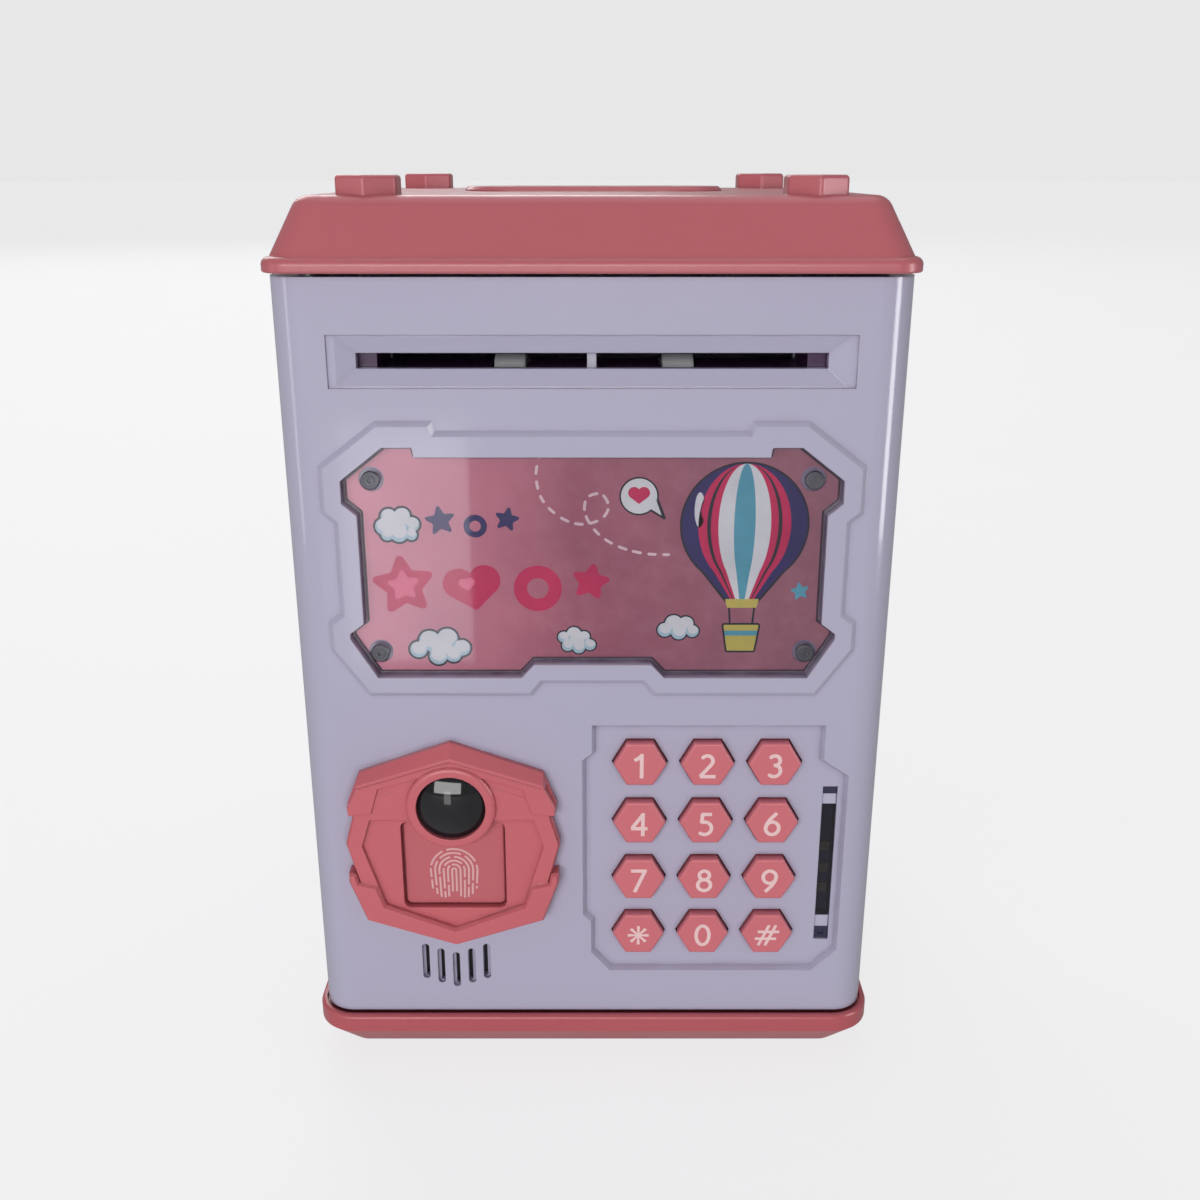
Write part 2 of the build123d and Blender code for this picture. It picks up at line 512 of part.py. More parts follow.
nodes["picture_screws"] = pscrews

# ---------------------------------------------------------------------------
# Lock badge
# ---------------------------------------------------------------------------
def B(right):
    return mirror_pts(right, BADGE_X)


side = B([(0, 74.0), (20.6, 66.0), (21.4, 62.6), (23.1, 56.4), (21.0, 48.3), (22.0, 46.2), (18.9, 38.0), (0, 31.9)])
badge = plate(side, 0.0, 2.2)
# side frames
fr_out = B([(0, 74.0), (21.3, 66.0), (21.3, 62.6), (23.1, 56.4), (20.9, 48.1), (19.0, 39.8), (0, 33.2)])
fr_in = B([(0, 62.45), (17.6, 62.45), (19.6, 56.1), (15.1, 41.6), (0, 35.7)])
badge += frustum(fr_out, 0.0, inset(fr_out, 0.35), 3.1)
# hood: thin outer edge, a band sloping up to a ridge, two wings below it
hood_low = B([(0, 79.85), (19.6, 72.8), (22.45, 65.6), (22.2, 63.4), (0, 63.4)])
badge += plate(hood_low, 0.0, 1.3)
hood_hi = B([(0, 76.3), (19.9, 69.9), (22.2, 65.4), (22.0, 63.6), (0, 63.6)])
badge += plate(hood_hi, 0.0, 3.0)
wings = B([(0, 76.5), (20.0, 70.1), (22.3, 65.5), (22.1, 63.5), (17.0, 64.0), (15.3, 69.8), (0, 74.4)])
badge += frustum(wings, 2.95, inset(wings, 0.2), 3.5)
gable = B([(0, 79.85), (19.6, 72.8), (20.4, 70.0), (0, 76.4)])
gable_in = B([(0, 77.3), (19.75, 70.95), (20.0, 70.2), (0, 76.6)])
badge += frustum(gable, 1.25, gable_in, 3.95)
# lower wings
lw = [(BADGE_X + x, z) for x, z in [(16.75, 46.2), (20.6, 47.2), (21.1, 49.3), (22.7, 49.8), (22.8, 47.5), (19.35, 37.9), (0, 31.6), (-19.35, 37.9), (-22.8, 47.5), (-22.7, 49.8), (-21.1, 49.3), (-20.6, 47.2), (-16.75, 46.2), (-15.1, 41.5), (0, 35.6), (15.1, 41.5)]]
badge += plate(lw, 0.0, 3.2)
badge += frustum(lw, 3.1, inset(lw, 0.45), 3.9)
# recess between the side frames
badge -= plate(fr_in, 2.2, 8)
# lens ring
ringo = cyl_y(BADGE_X, LENS_Z, 9.6, yt(RING_F), yt(1.7))
ringo = fillet(ringo.faces().sort_by(Axis.Y)[0].edges(), 1.0)
# opening for the pad, then the ring over it
badge -= rrect_xz(BADGE_X - 11.25, BADGE_X + 11.25, 40.35, 61.6, 1.6, yt(9), 10)
badge += ringo
badge += cyl_y(BADGE_X, LENS_Z, 9.3, yt(1.8), yt(0.0))
badge -= cyl_y(BADGE_X, LENS_Z, 7.4, yt(8), yt(-1))
badge -= cyl_y(BADGE_X, LENS_Z, 8.4, yt(1.3), yt(-1))
for x, z in GSCR:
    badge -= cyl_y(x, z, 0.85, -60.4, -57)
nodes["lock_badge"] = badge
nodes["badge_screws"] = [screw_y(x, z, YI, 1.2, 4.6, 2.2, 0.85) for x, z in GSCR]

# lens: flanged dome
LENS_R, LENS_RISE, LENS_EDGE = 7.34, 2.0, 3.2
R_DOME = (LENS_R ** 2 + LENS_RISE ** 2) / (2 * LENS_RISE)
lens = cyl_y(BADGE_X, LENS_Z, 8.3, yt(1.3), yt(0.1)) + cyl_y(BADGE_X, LENS_Z, LENS_R, yt(LENS_EDGE), yt(1.2))
dome = Pos(BADGE_X, yt(LENS_EDGE) + (R_DOME - LENS_RISE), LENS_Z) * Sphere(R_DOME)
dome = dome & cyl_y(BADGE_X, LENS_Z, LENS_R, yt(7), yt(LENS_EDGE - 0.1))
lens += dome
nodes["lens_dome"] = lens

# fingerprint pad
pad = rrect_xz(BADGE_X - 10.9, BADGE_X + 10.9, 40.7, 61.2, 1.3, yt(1.0), 1.3)
pad = chamfer(pad.faces().sort_by(Axis.Y)[0].edges(), 0.25)
pad += rrect_xz(BADGE_X - 12.6, BADGE_X + 12.6, 38.9, 62.9, 1.3, yt(-0.2), 1.2)
pad += cyl_y(BADGE_X, 48.0, 2.0, yt(-1.3), -55.6)
pad -= cyl_y(BADGE_X, LENS_Z, 9.7, yt(4), -50)
nodes["fingerprint_pad"] = pad

# sensor board behind the badge
sb = box(BADGE_X - 20.0, BADGE_X + 20.0, -51.2, -49.6, 38.8, 73.5)
for x, z in SBP:
    sb -= cyl_y(x, z, 1.1, -55, -45)
sb += box(BADGE_X - 3.0, BADGE_X + 3.0, -53.4, -51.1, 45.0, 51.0)
sb += cyl_y(BADGE_X, 48.0, 1.7, -54.5, -53.3)
sb += cyl_y(BADGE_X, LENS_Z, 2.5, -54.4, -51.1)
sb += box(BADGE_X + 8.0, BADGE_X + 15.0, -49.7, -48.5, 54.0, 60.0)
nodes["sensor_board"] = sb

# ---------------------------------------------------------------------------
# Keypad
# ---------------------------------------------------------------------------
NAMES = ["1", "2", "3", "4", "5", "6", "7", "8", "9", "star", "0", "hash"]
k = 0
for z in KEY_Z:
    for x in KEY_X:
        cap = plate(hexpts(x, z, 5.68, 4.92, 2.84), -5.0, 0.35)
        cap = fillet(cap.faces().sort_by(Axis.Y)[0].edges(), 0.55)
        fl = plate(hexpts(x, z, 6.85, 5.93, 3.42), -5.5, -4.35)
        stem = cyl_y(x, z, 2.6, -52.6, -51.9)
        nodes["key_" + NAMES[k]] = cap + fl + stem
        k += 1
mem = box(2.8, 46.4, -50.75, -50.0, 25.7, 81.0)
for z in KEY_Z:
    for x in KEY_X:
        mem += cyl_y(x, z, 3.4, -50.85, -50.7)
nodes["key_membrane"] = mem
kb = box(-3.8, 56.2, -50.0, -48.4, 21.0, 88.4)
for x, z in KBP:
    kb -= cyl_y(x, z, 1.1, -55, -45)
kb -= box(52.4, 60, -55, -45, 82.9, 95)
nodes["keypad_board"] = kb
bsc = [screw_y(x, z, -49.6, 1.2, 3.4, 1.9, 0.9) for x, z in SBP] + [screw_y(x, z, -48.4, 1.0, 3.4, 1.9, 0.9) for x, z in KBP]
nodes["board_screws"] = bsc

# indicator strip
hx0, hx1 = LED_X0 + 0.08, LED_X1 - 0.08
holder = box(hx0, hx1, -55.5, -50.0, LED_Z0 + 0.1, LED_Z1 - 0.1)
holder -= box(hx0 - 1, hx1 + 1, -56, -53.2, 35.5, 63.5)
holder -= box(hx0 - 1, hx1 + 1, -56, -54.4, 66.05, 70)
holder -= box(hx0 - 1, hx1 + 1, -56, -54.4, 28, 32.6)
nodes["led_holder"] = holder
nodes["led_window"] = box(hx0, hx1, -55.5, -54.3, 35.5, 63.5)
nodes["led_clips"] = [box(hx0, hx1, -55.7, -54.4, 66.05, LED_Z1 - 0.1) , box(hx0, hx1, -55.7, -54.4, LED_Z0 + 0.1, 32.6) - box(hx0 + 0.8, hx1 - 0.8, -56, -55.2, 30.6, 31.8)]
nodes["indicator_leds"] = [box(50.25, 52.25, -54.3, -53.2, z - 1.1, z + 1.1) for z in (52.3, 46.9, 41.9)]

# ---------------------------------------------------------------------------
# Speaker
# ---------------------------------------------------------------------------
spk = cyl_y(SPK_X, SPK_Z, 10.0, YI, -53.4) + cyl_y(SPK_X, SPK_Z, 8.0, -53.5, -51.6) + cyl_y(SPK_X, SPK_Z, 5.5, -51.7, -49.4)
spk -= cyl_y(SPK_X, SPK_Z, 8.8, YI - 1, YI + 0.5)
nodes["speaker"] = spk

# ---------------------------------------------------------------------------
# Note feeder
# ---------------------------------------------------------------------------
EPX = 44.0
ff = box(-EPX, EPX, -53.2, -36.5, 155.2, 157.0)                       # lower guide
ff += box(-EPX, EPX, -53.2, -51.7, 147.4, 157.0)                      # front flange
ff += box(-EPX, EPX, -53.2, -36.5, 161.4, 162.6)                      # upper guide
ff += box(-EPX, -EPX + 2, -53.2, -36.5, 146.0, 167.5)                 # end plates
ff += box(EPX - 2, EPX, -53.2, -36.5, 134.5, 167.5)
for s in (-1, 1):
    a, b = (-20.3, -12.6) if s < 0 else (13.2, 20.9)
    ff -= box(a, b, -51.0, -37.2, 150.0, 158.0)                       # windows for the wheels
    ff -= box(a, b, -51.0, -37.2, 160.0, 165.0)
for s in (-1, 1):
    a, b = sorted((s * 41.9, s * 47.6))
    ff += box(a, b, -53.2, -52.0, 154.0, 164.4)                       # mouth ends
ff -= cyl_x(ROLL_Y, DRIVE_Z, PIN_R + 0.06, -EPX - 1, EPX + 1)
ff -= cyl_x(ROLL_Y, PINCH_Z, 1.2 + 0.06, -EPX - 1, EPX + 1)
ff -= box(-EPX + 2, EPX - 2, ROLL_Y - 2.2, ROLL_Y + 2.2, 160.4, 165.2)  # room round the pinch shaft
ff -= cyl_x(ROLL_Y, DRIVE_Z - GEAR_C, 3.2, EPX - 3, EPX + 1)          # motor nose hole
for x, z in FSCR:
    ff -= cyl_y(x, z, 1.1, -55, -50)
nodes["feeder_frame"] = ff
nodes["note_divider"] = box(-1.0, 0.8, -53.9, -49.5, 157.0, 161.35)
nodes["feeder_screws"] = [screw_y(x, z, -51.7, 1.1, 3.2, 2.0, 0.9) for x, z in FSCR]
ds = cyl_x(ROLL_Y, DRIVE_Z, PIN_R, -EPX - 1.2, 50.6)
ds = chamfer(ds.edges().filter_by(GeomType.CIRCLE), 0.25)
nodes["drive_shaft"] = ds
wheels = []
for s in (-1, 1):
    a, b = (-19.6, -13.3) if s < 0 else (13.9, 20.2)
    w = cyl_x(ROLL_Y, DRIVE_Z, DRIVE_R, a, b)
    w = fillet(w.edges().filter_by(GeomType.CIRCLE), 0.4)
    wheels.append(w - cyl_x(ROLL_Y, DRIVE_Z, PIN_R, a - 1, b + 1))
nodes["drive_wheels"] = wheels
nodes["drive_gear"] = gear(GEAR_N, GEAR_M, 46.2, 49.6, ROLL_Y, DRIVE_Z, PIN_R, -math.pi / 2) + (cyl_x(ROLL_Y, DRIVE_Z, 3.0, 45.0, 46.3) - cyl_x(ROLL_Y, DRIVE_Z, PIN_R, 44, 48))
PSH = 1.2
ps = cyl_x(ROLL_Y, PINCH_Z, PSH, -EPX - 1.2, EPX + 1.2)
ps = chamfer(ps.edges().filter_by(GeomType.CIRCLE), 0.25)
nodes["pinch_shaft"] = ps
pw = []
for s in (-1, 1):
    a, b = (-19.6, -13.3) if s < 0 else (13.9, 20.2)
    w = cyl_x(ROLL_Y, PINCH_Z, PINCH_R, a, b)
    w = fillet(w.edges().filter_by(GeomType.CIRCLE), 0.3)
    pw.append(w - cyl_x(ROLL_Y, PINCH_Z, PSH, a - 1, b + 1))
nodes["pinch_wheels"] = pw
# motor with its nose and shaft clearance; the pinion turns on the motor's shaft
MZ = DRIVE_Z - GEAR_C
mot = cyl_x(ROLL_Y, MZ, 6.0, 23.0, EPX - 2) + cyl_x(ROLL_Y, MZ, 3.0, EPX - 3, EPX + 0.6) + cyl_x(ROLL_Y, MZ, 2.6, 21.6, 23.1)
mot -= cyl_x(ROLL_Y, MZ, 1.06, 30.0, 50)
nodes["feeder_motor"] = mot
pin = gear(PINION_N, GEAR_M, 46.2, 49.8, ROLL_Y, MZ, 0.3, math.pi / 2 + math.pi / PINION_N)
pin = pin + cyl_x(ROLL_Y, MZ, 1.0, 31.0, 50.4)
nodes["motor_pinion"] = pin

# ---------------------------------------------------------------------------
# Door lock: bolt, guide, solenoid, strike
# ---------------------------------------------------------------------------
LZ = LATCH_Z
bolt = box(30.0, 47.0, -41.0, -37.2, LZ - 3.0, LZ + 3.0)               # slide
bolt += box(43.4, 47.0, -41.0, -24.4, LZ - 3.0, LZ + 3.0)              # arm through the cover
nose = make_face(Polyline((46.0, -26.9, LZ - 3.0), (50.2, -26.9, LZ - 3.0), (48.0, -24.4, LZ - 3.0), (46.0, -24.4, LZ - 3.0), close=True))
bolt += extrude(nose, amount=6.0, dir=(0, 0, 1))
bolt += cyl_x(-39.1, LZ, 1.4, 14.0, 30.5)                              # plunger
nodes["latch_bolt"] = bolt
guide = box(28.4, 45.2, -43.0, Y_COV0, LZ - 5.2, LZ + 5.2)
guide -= box(20.0, 54.0, -41.15, -37.05, LZ - 3.12, LZ + 3.12)
guide += box(20.5, 45.2, -36.0, Y_COV0, LZ - 12.0, LZ + 12.0)
guide -= box(42.8, 60.0, -50.0, -30.0, LZ - 3.6, LZ + 3.6)
guide += box(26.0, 28.4, -43.0, Y_COV0, LZ - 5.2, LZ + 5.2)
guide -= cyl_x(-39.1, LZ, 1.48, 20.0, 30.0)
for x, z in LSCR:
    guide -= cyl_y(x, z, 0.9, -40, -30)
nodes["lock_guide"] = guide
sol = cyl_x(-39.1, LZ, 4.8, 8.0, 20.3) - cyl_x(-39.1, LZ, 1.48, 9.5, 30.0)
sol += box(6.8, 8.1, -44.3, -34.2, LZ - 5.2, LZ + 5.2)
nodes["lock_solenoid"] = sol
nodes["lock_screws"] = [screw_y(x, z, Y_COV1, 1.1, 3.6, 2.0, 0.9) for x, z in LSCR]
strike = box(51.7, 58.6, Y_SEAM_S + 2.5, Y_SEAM_S + 3.5, LZ - 12.0, LZ + 12.0)
for dz in (-8.5, 8.5):
    strike -= cyl_y(55.3, LZ + dz, 1.1, -30, -20)
nodes["strike_plate"] = strike
nodes["strike_screws"] = [screw_y(55.3, LZ + dz, Y_SEAM_S + 3.5, 0.9, 2.6, 1.9, 0.9) for dz in (-8.5, 8.5)]

# ---------------------------------------------------------------------------
for name, shp in nodes.items():
    if isinstance(shp, (list, tuple)):
        solids = []
        for s in shp:
            solids += list(s.solids())
    else:
        solids = list(shp.solids())
    out = Compound(children=[Pos(0, Y_SHIFT, 0) * s for s in solids]) if len(solids) > 1 else Pos(0, Y_SHIFT, 0) * solids[0]
    export_step(out, "parts/%s.step" % name)
print(len(nodes), "nodes")
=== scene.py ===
import math

import bpy
import bmesh
import numpy as np
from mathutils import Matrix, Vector


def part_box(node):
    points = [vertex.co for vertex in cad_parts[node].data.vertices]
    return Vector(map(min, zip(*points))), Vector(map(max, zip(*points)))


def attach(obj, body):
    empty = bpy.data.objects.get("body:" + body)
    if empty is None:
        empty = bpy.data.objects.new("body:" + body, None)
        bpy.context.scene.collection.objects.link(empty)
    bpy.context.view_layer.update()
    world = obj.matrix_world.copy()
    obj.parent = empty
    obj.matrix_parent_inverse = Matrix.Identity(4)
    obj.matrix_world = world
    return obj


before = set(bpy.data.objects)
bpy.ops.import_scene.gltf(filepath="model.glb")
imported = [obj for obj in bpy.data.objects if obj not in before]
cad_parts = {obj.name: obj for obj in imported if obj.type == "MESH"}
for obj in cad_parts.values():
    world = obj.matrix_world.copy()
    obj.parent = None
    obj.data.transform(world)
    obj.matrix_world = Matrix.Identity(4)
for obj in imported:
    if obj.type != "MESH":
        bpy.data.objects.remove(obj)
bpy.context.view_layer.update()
scene = bpy.context.scene
MM = 0.001


# ---------------------------------------------------------------------------
# colour helpers
# ---------------------------------------------------------------------------
def lin(v):
    v = v / 255.0
    return v / 12.92 if v <= 0.04045 else ((v + 0.055) / 1.055) ** 2.4


def srgb(r, g, b):
    return (lin(r), lin(g), lin(b), 1.0)


def scaled(c, k):
    return (min(1.0, c[0] * k), min(1.0, c[1] * k), min(1.0, c[2] * k), 1.0)


# ---------------------------------------------------------------------------
# materials, all procedural
# ---------------------------------------------------------------------------
def new_mat(name):
    m = bpy.data.materials.new(name)
    m.use_nodes = True
    nt = m.node_tree
    nt.nodes.clear()
    out = nt.nodes.new("ShaderNodeOutputMaterial")
    return m, nt, out


def noise(nt, vec, scale, detail=2.0, rough=0.5, dist=0.0):
    n = nt.nodes.new("ShaderNodeTexNoise")
    n.inputs["Scale"].default_value = scale
    n.inputs["Detail"].default_value = detail
    n.inputs["Roughness"].default_value = rough
    n.inputs["Distortion"].default_value = dist
    nt.links.new(vec, n.inputs["Vector"])
    return n.outputs["Fac"]


def map_range(nt, fac, a, b, lo=0.3, hi=0.7):
    n = nt.nodes.new("ShaderNodeMapRange")
    n.inputs["From Min"].default_value = lo
    n.inputs["From Max"].default_value = hi
    n.inputs["To Min"].default_value = a
    n.inputs["To Max"].default_value = b
    nt.links.new(fac, n.inputs["Value"])
    return n.outputs["Result"]


def mix_col(nt, fac, a, b):
    n = nt.nodes.new("ShaderNodeMix")
    n.data_type = "RGBA"
    nt.links.new(fac, n.inputs[0])
    for sock, v in ((n.inputs[6], a), (n.inputs[7], b)):
        if isinstance(v, tuple):
            sock.default_value = v
        else:
            nt.links.new(v, sock)
    return n.outputs[2]


def math_node(nt, op, a, b=None, clamp=False):
    n = nt.nodes.new("ShaderNodeMath")
    n.operation = op
    n.use_clamp = clamp
    for i, v in enumerate((a, b)):
        if v is None:
            continue
        if isinstance(v, (int, float)):
            n.inputs[i].default_value = v
        else:
            nt.links.new(v, n.inputs[i])
    return n.outputs[0]


def plastic(name, base, rough=0.3, var=0.05, mottle=30.0, bump=0.06, grain=2600.0,
            bevel=0.3, edge_highlight=0.25, crease_shade=0.0, crease_shade_col=None, spec=0.5, coat=0.0, coat_rough=0.08,
            metal=0.0, rough_var=0.07, scratch=0.0, sss=0.0, edge_highlight_col=None):
    """Moulded plastic, rubber or metal: slow colour drift, flecks, roughness drift, fine surface grain,
    softened edges, a painted highlight lightening the edges, and painted shade darkening the creases."""
    m, nt, out = new_mat(name)
    p = nt.nodes.new("ShaderNodeBsdfPrincipled")
    nt.links.new(p.outputs[0], out.inputs["Surface"])
    tc = nt.nodes.new("ShaderNodeTexCoord")
    vec = tc.outputs["Object"]
    slow = noise(nt, vec, mottle, 3.0, 0.55, 0.3)
    fleck = noise(nt, vec, 1400.0 if mottle < 30 else mottle * 14, 2.0, 0.6)
    col = mix_col(nt, map_range(nt, slow, 0.0, 1.0, 0.32, 0.68), scaled(base, 1 - var), scaled(base, 1 + var))
    col = mix_col(nt, map_range(nt, fleck, 0.0, 0.12, 0.45, 0.80), col, scaled(base, 1 - 1.8 * var))
    if bevel > 0:
        bv = nt.nodes.new("ShaderNodeBevel")
        bv.samples = 4
        bv.inputs["Radius"].default_value = bevel * MM
        nrm = bv.outputs["Normal"]
        # painted highlight: the colour lightens on edges, where the bevelled normal turns away from the face's own
        if edge_highlight > 0:
            geo = nt.nodes.new("ShaderNodeNewGeometry")
            dot = nt.nodes.new("ShaderNodeVectorMath")
            dot.operation = "DOT_PRODUCT"
            nt.links.new(nrm, dot.inputs[0])
            nt.links.new(geo.outputs["Normal"], dot.inputs[1])
            edge = map_range(nt, dot.outputs["Value"], edge_highlight, 0.0, 0.72, 0.99)
            col = mix_col(nt, edge, col, edge_highlight_col or scaled(base, 1.16))
    # painted shade: the colour darkens in creases, where ambient occlusion finds nearby surfaces, in slightly patchy
    # amounts
    if crease_shade > 0:
        ao = nt.nodes.new("ShaderNodeAmbientOcclusion")
        ao.samples = 4
        ao.inputs["Distance"].default_value = 1.6 * MM
        crease_shade_mask = map_range(nt, ao.outputs["AO"], crease_shade, 0.0, 0.35, 0.95)
        patch = map_range(nt, noise(nt, vec, 160.0, 3.0, 0.6), 0.55, 1.0, 0.35, 0.65)
        col = mix_col(nt, math_node(nt, "MULTIPLY", crease_shade_mask, patch), col, crease_shade_col or scaled(base, 0.45))
    nt.links.new(col, p.inputs["Base Color"])
    r = map_range(nt, noise(nt, vec, mottle * 2.3, 4.0, 0.6), max(0.02, rough - rough_var), rough + rough_var)
    if scratch > 0:
        # fine rubbed streaks, a long way apart
        mp = nt.nodes.new("ShaderNodeMapping")
        mp.inputs["Scale"].default_value = (1.0, 1.0, 0.06)
        mp.inputs["Rotation"].default_value = (0.2, 0.5, 0.3)
        nt.links.new(vec, mp.inputs["Vector"])
        st = noise(nt, mp.outputs["Vector"], 900.0, 2.0, 0.5)
        r = math_node(nt, "ADD", r, map_range(nt, st, 0.0, scratch, 0.62, 0.75))
    nt.links.new(r, p.inputs["Roughness"])
    b = nt.nodes.new("ShaderNodeBump")
    b.inputs["Strength"].default_value = bump
    b.inputs["Distance"].default_value = 0.05 * MM
    fine = noise(nt, vec, grain, 2.0, 0.5)
    wave = noise(nt, vec, 120.0, 2.0, 0.4)
    nt.links.new(math_node(nt, "ADD", fine, math_node(nt, "MULTIPLY", wave, 2.5)), b.inputs["Height"])
    if bevel > 0:
        nt.links.new(nrm, b.inputs["Normal"])
    nt.links.new(b.outputs["Normal"], p.inputs["Normal"])
    p.inputs["Specular IOR Level"].default_value = spec
    p.inputs["Metallic"].default_value = metal
    if coat > 0:
        p.inputs["Coat Weight"].default_value = coat
        p.inputs["Coat Roughness"].default_value = coat_rough
    if sss > 0:
        p.inputs["Subsurface Weight"].default_value = sss
        p.inputs["Subsurface Radius"].default_value = (0.0012, 0.0006, 0.0006)
        p.inputs["Subsurface Scale"].default_value = 1.0
    return m


# the white plastic is given a lavender-grey colour that paints in the soft shade over the whole body
WHITE_IN_SHADE = (0.515, 0.489, 0.640, 1)
PINK = (0.600, 0.150, 0.178, 1)
MAT = {}
MAT["white_plastic"] = plastic("white_plastic_m", WHITE_IN_SHADE, rough=0.16, var=0.012, mottle=11, bump=0.03,
                               bevel=0.35, edge_highlight=0.38, crease_shade=0.85, crease_shade_col=(0.17, 0.115, 0.20, 1), coat=0.3,
                               coat_rough=0.05, rough_var=0.03, scratch=0.0, edge_highlight_col=(0.62, 0.60, 0.74, 1))


def pink(name, k, rough=0.33, deep=1.0):
    """The pink plastic, copied with a brightness factor k that paints in the light and shade a part gets, and a factor
    deep that takes down green and blue.
    """
    c = scaled((PINK[0], PINK[1] * deep, PINK[2] * deep), k)
    return plastic(name, c, rough=rough, var=0.022, mottle=14, bump=0.06, bevel=0.3, edge_highlight=0.40, crease_shade=0.6,
                   crease_shade_col=scaled(c, 0.42), coat=0.14, coat_rough=0.12, rough_var=0.04, edge_highlight_col=scaled(c, 1.22))


MAT["pink_plastic"] = pink("pink_plastic_m", 0.93)
# painted light and shade: the base gets a darker copy of the pink, the badge, pad and keys lighter copies
PINK_LIT_AND_SHADED_BY_NODE = {"base_plinth": pink("pink_base_shaded_m", 0.90, 0.33, 0.80), "lock_badge": pink("pink_badge_lit_m", 1.12, 0.30, 0.90),
                "fingerprint_pad": pink("pink_pad_lit_m", 1.02, 0.30, 0.96)}
KEY_PINK_LIT = pink("pink_key_m", 1.20, 0.34)
MAT["white_inner"] = plastic("white_inner_m", (0.52, 0.50, 0.60, 1), rough=0.42, var=0.03, mottle=20, bump=0.1, crease_shade=0.4)
MAT["purple_plastic"] = plastic("purple_plastic_m", (0.060, 0.020, 0.076, 1), rough=0.33, var=0.1, mottle=40, bump=0.08, bevel=0.2, edge_highlight=0.3)
MAT["foot_rubber"] = plastic("foot_rubber_m", (0.05, 0.05, 0.055, 1), rough=0.75, var=0.12, mottle=60, bump=0.4, grain=1800, bevel=0.3)
MAT["membrane_rubber"] = plastic("membrane_rubber_m", (0.42, 0.42, 0.44, 1), rough=0.62, var=0.06, mottle=50, bump=0.25, grain=1500)
MAT["wheel_rubber"] = plastic("wheel_rubber_m", (0.50, 0.51, 0.53, 1), rough=0.6, var=0.08, mottle=90, bump=0.3, grain=1600)
MAT["steel"] = plastic("steel_m", (0.56, 0.56, 0.58, 1), rough=0.28, var=0.05, mottle=80, bump=0.12, grain=3000, metal=1.0, bevel=0.15)
MAT["dark_screw"] = plastic("dark_screw_m", (0.13, 0.13, 0.15, 1), rough=0.36, var=0.12, mottle=120, bump=0.15, metal=0.85, bevel=0.15, edge_highlight=0.5, edge_highlight_col=(0.35, 0.35, 0.38, 1))
MAT["spring_steel"] = plastic("spring_steel_m", (0.62, 0.60, 0.55, 1), rough=0.24, var=0.05, mottle=80, bump=0.1, metal=1.0, bevel=0.15)
MAT["diffuser"] = plastic("diffuser_m", (0.55, 0.53, 0.68, 1), rough=0.45, var=0.04, mottle=60, bump=0.08, bevel=0.1)
MAT["dark_clip"] = plastic("dark_clip_m", (0.035, 0.035, 0.075, 1), rough=0.34, var=0.12, mottle=90, bump=0.1, bevel=0.15)
MAT["led_body"] = plastic("led_body_m", (0.80, 0.74, 0.36, 1), rough=0.25, var=0.06, mottle=200, bump=0.05, bevel=0.15)
MAT["board_green"] = plastic("board_green_m", (0.03, 0.17, 0.07, 1), rough=0.35, var=0.12, mottle=60, bump=0.2, grain=900, bevel=0.12)
MAT["speaker_black"] = plastic("speaker_black_m", (0.03, 0.03, 0.034, 1), rough=0.55, var=0.15, mottle=80, bump=0.3, grain=1200)
MAT["gear_plastic"] = plastic("gear_plastic_m", (0.70, 0.70, 0.66, 1), rough=0.38, var=0.04, mottle=70, bump=0.06, bevel=0.1)
MAT["cell_jacket"] = plastic("cell_jacket_m", (0.10, 0.22, 0.36, 1), rough=0.26, var=0.08, mottle=60, bump=0.05, coat=0.3)


def lens_material():
    m, nt, out = new_mat("lens_black_m")
    p = nt.nodes.new("ShaderNodeBsdfPrincipled")
    nt.links.new(p.outputs[0], out.inputs["Surface"])
    tc = nt.nodes.new("ShaderNodeTexCoord")
    vec = tc.outputs["Object"]
    f = noise(nt, vec, 90.0, 2.0, 0.5)
    nt.links.new(mix_col(nt, map_range(nt, f, 0.0, 1.0), (0.004, 0.004, 0.005, 1), (0.013, 0.012, 0.016, 1)), p.inputs["Base Color"])
    nt.links.new(map_range(nt, noise(nt, vec, 240.0, 3.0, 0.6), 0.03, 0.08), p.inputs["Roughness"])
    p.inputs["Specular IOR Level"].default_value = 0.45
    p.inputs["Coat Weight"].default_value = 0.35
    p.inputs["Coat Roughness"].default_value = 0.02
    b = nt.nodes.new("ShaderNodeBump")
    b.inputs["Strength"].default_value = 0.02
    b.inputs["Distance"].default_value = 0.05 * MM
    nt.links.new(noise(nt, vec, 500.0, 2.0, 0.5), b.inputs["Height"])
    nt.links.new(b.outputs["Normal"], p.inputs["Normal"])
    return m


MAT["lens_black"] = lens_material()


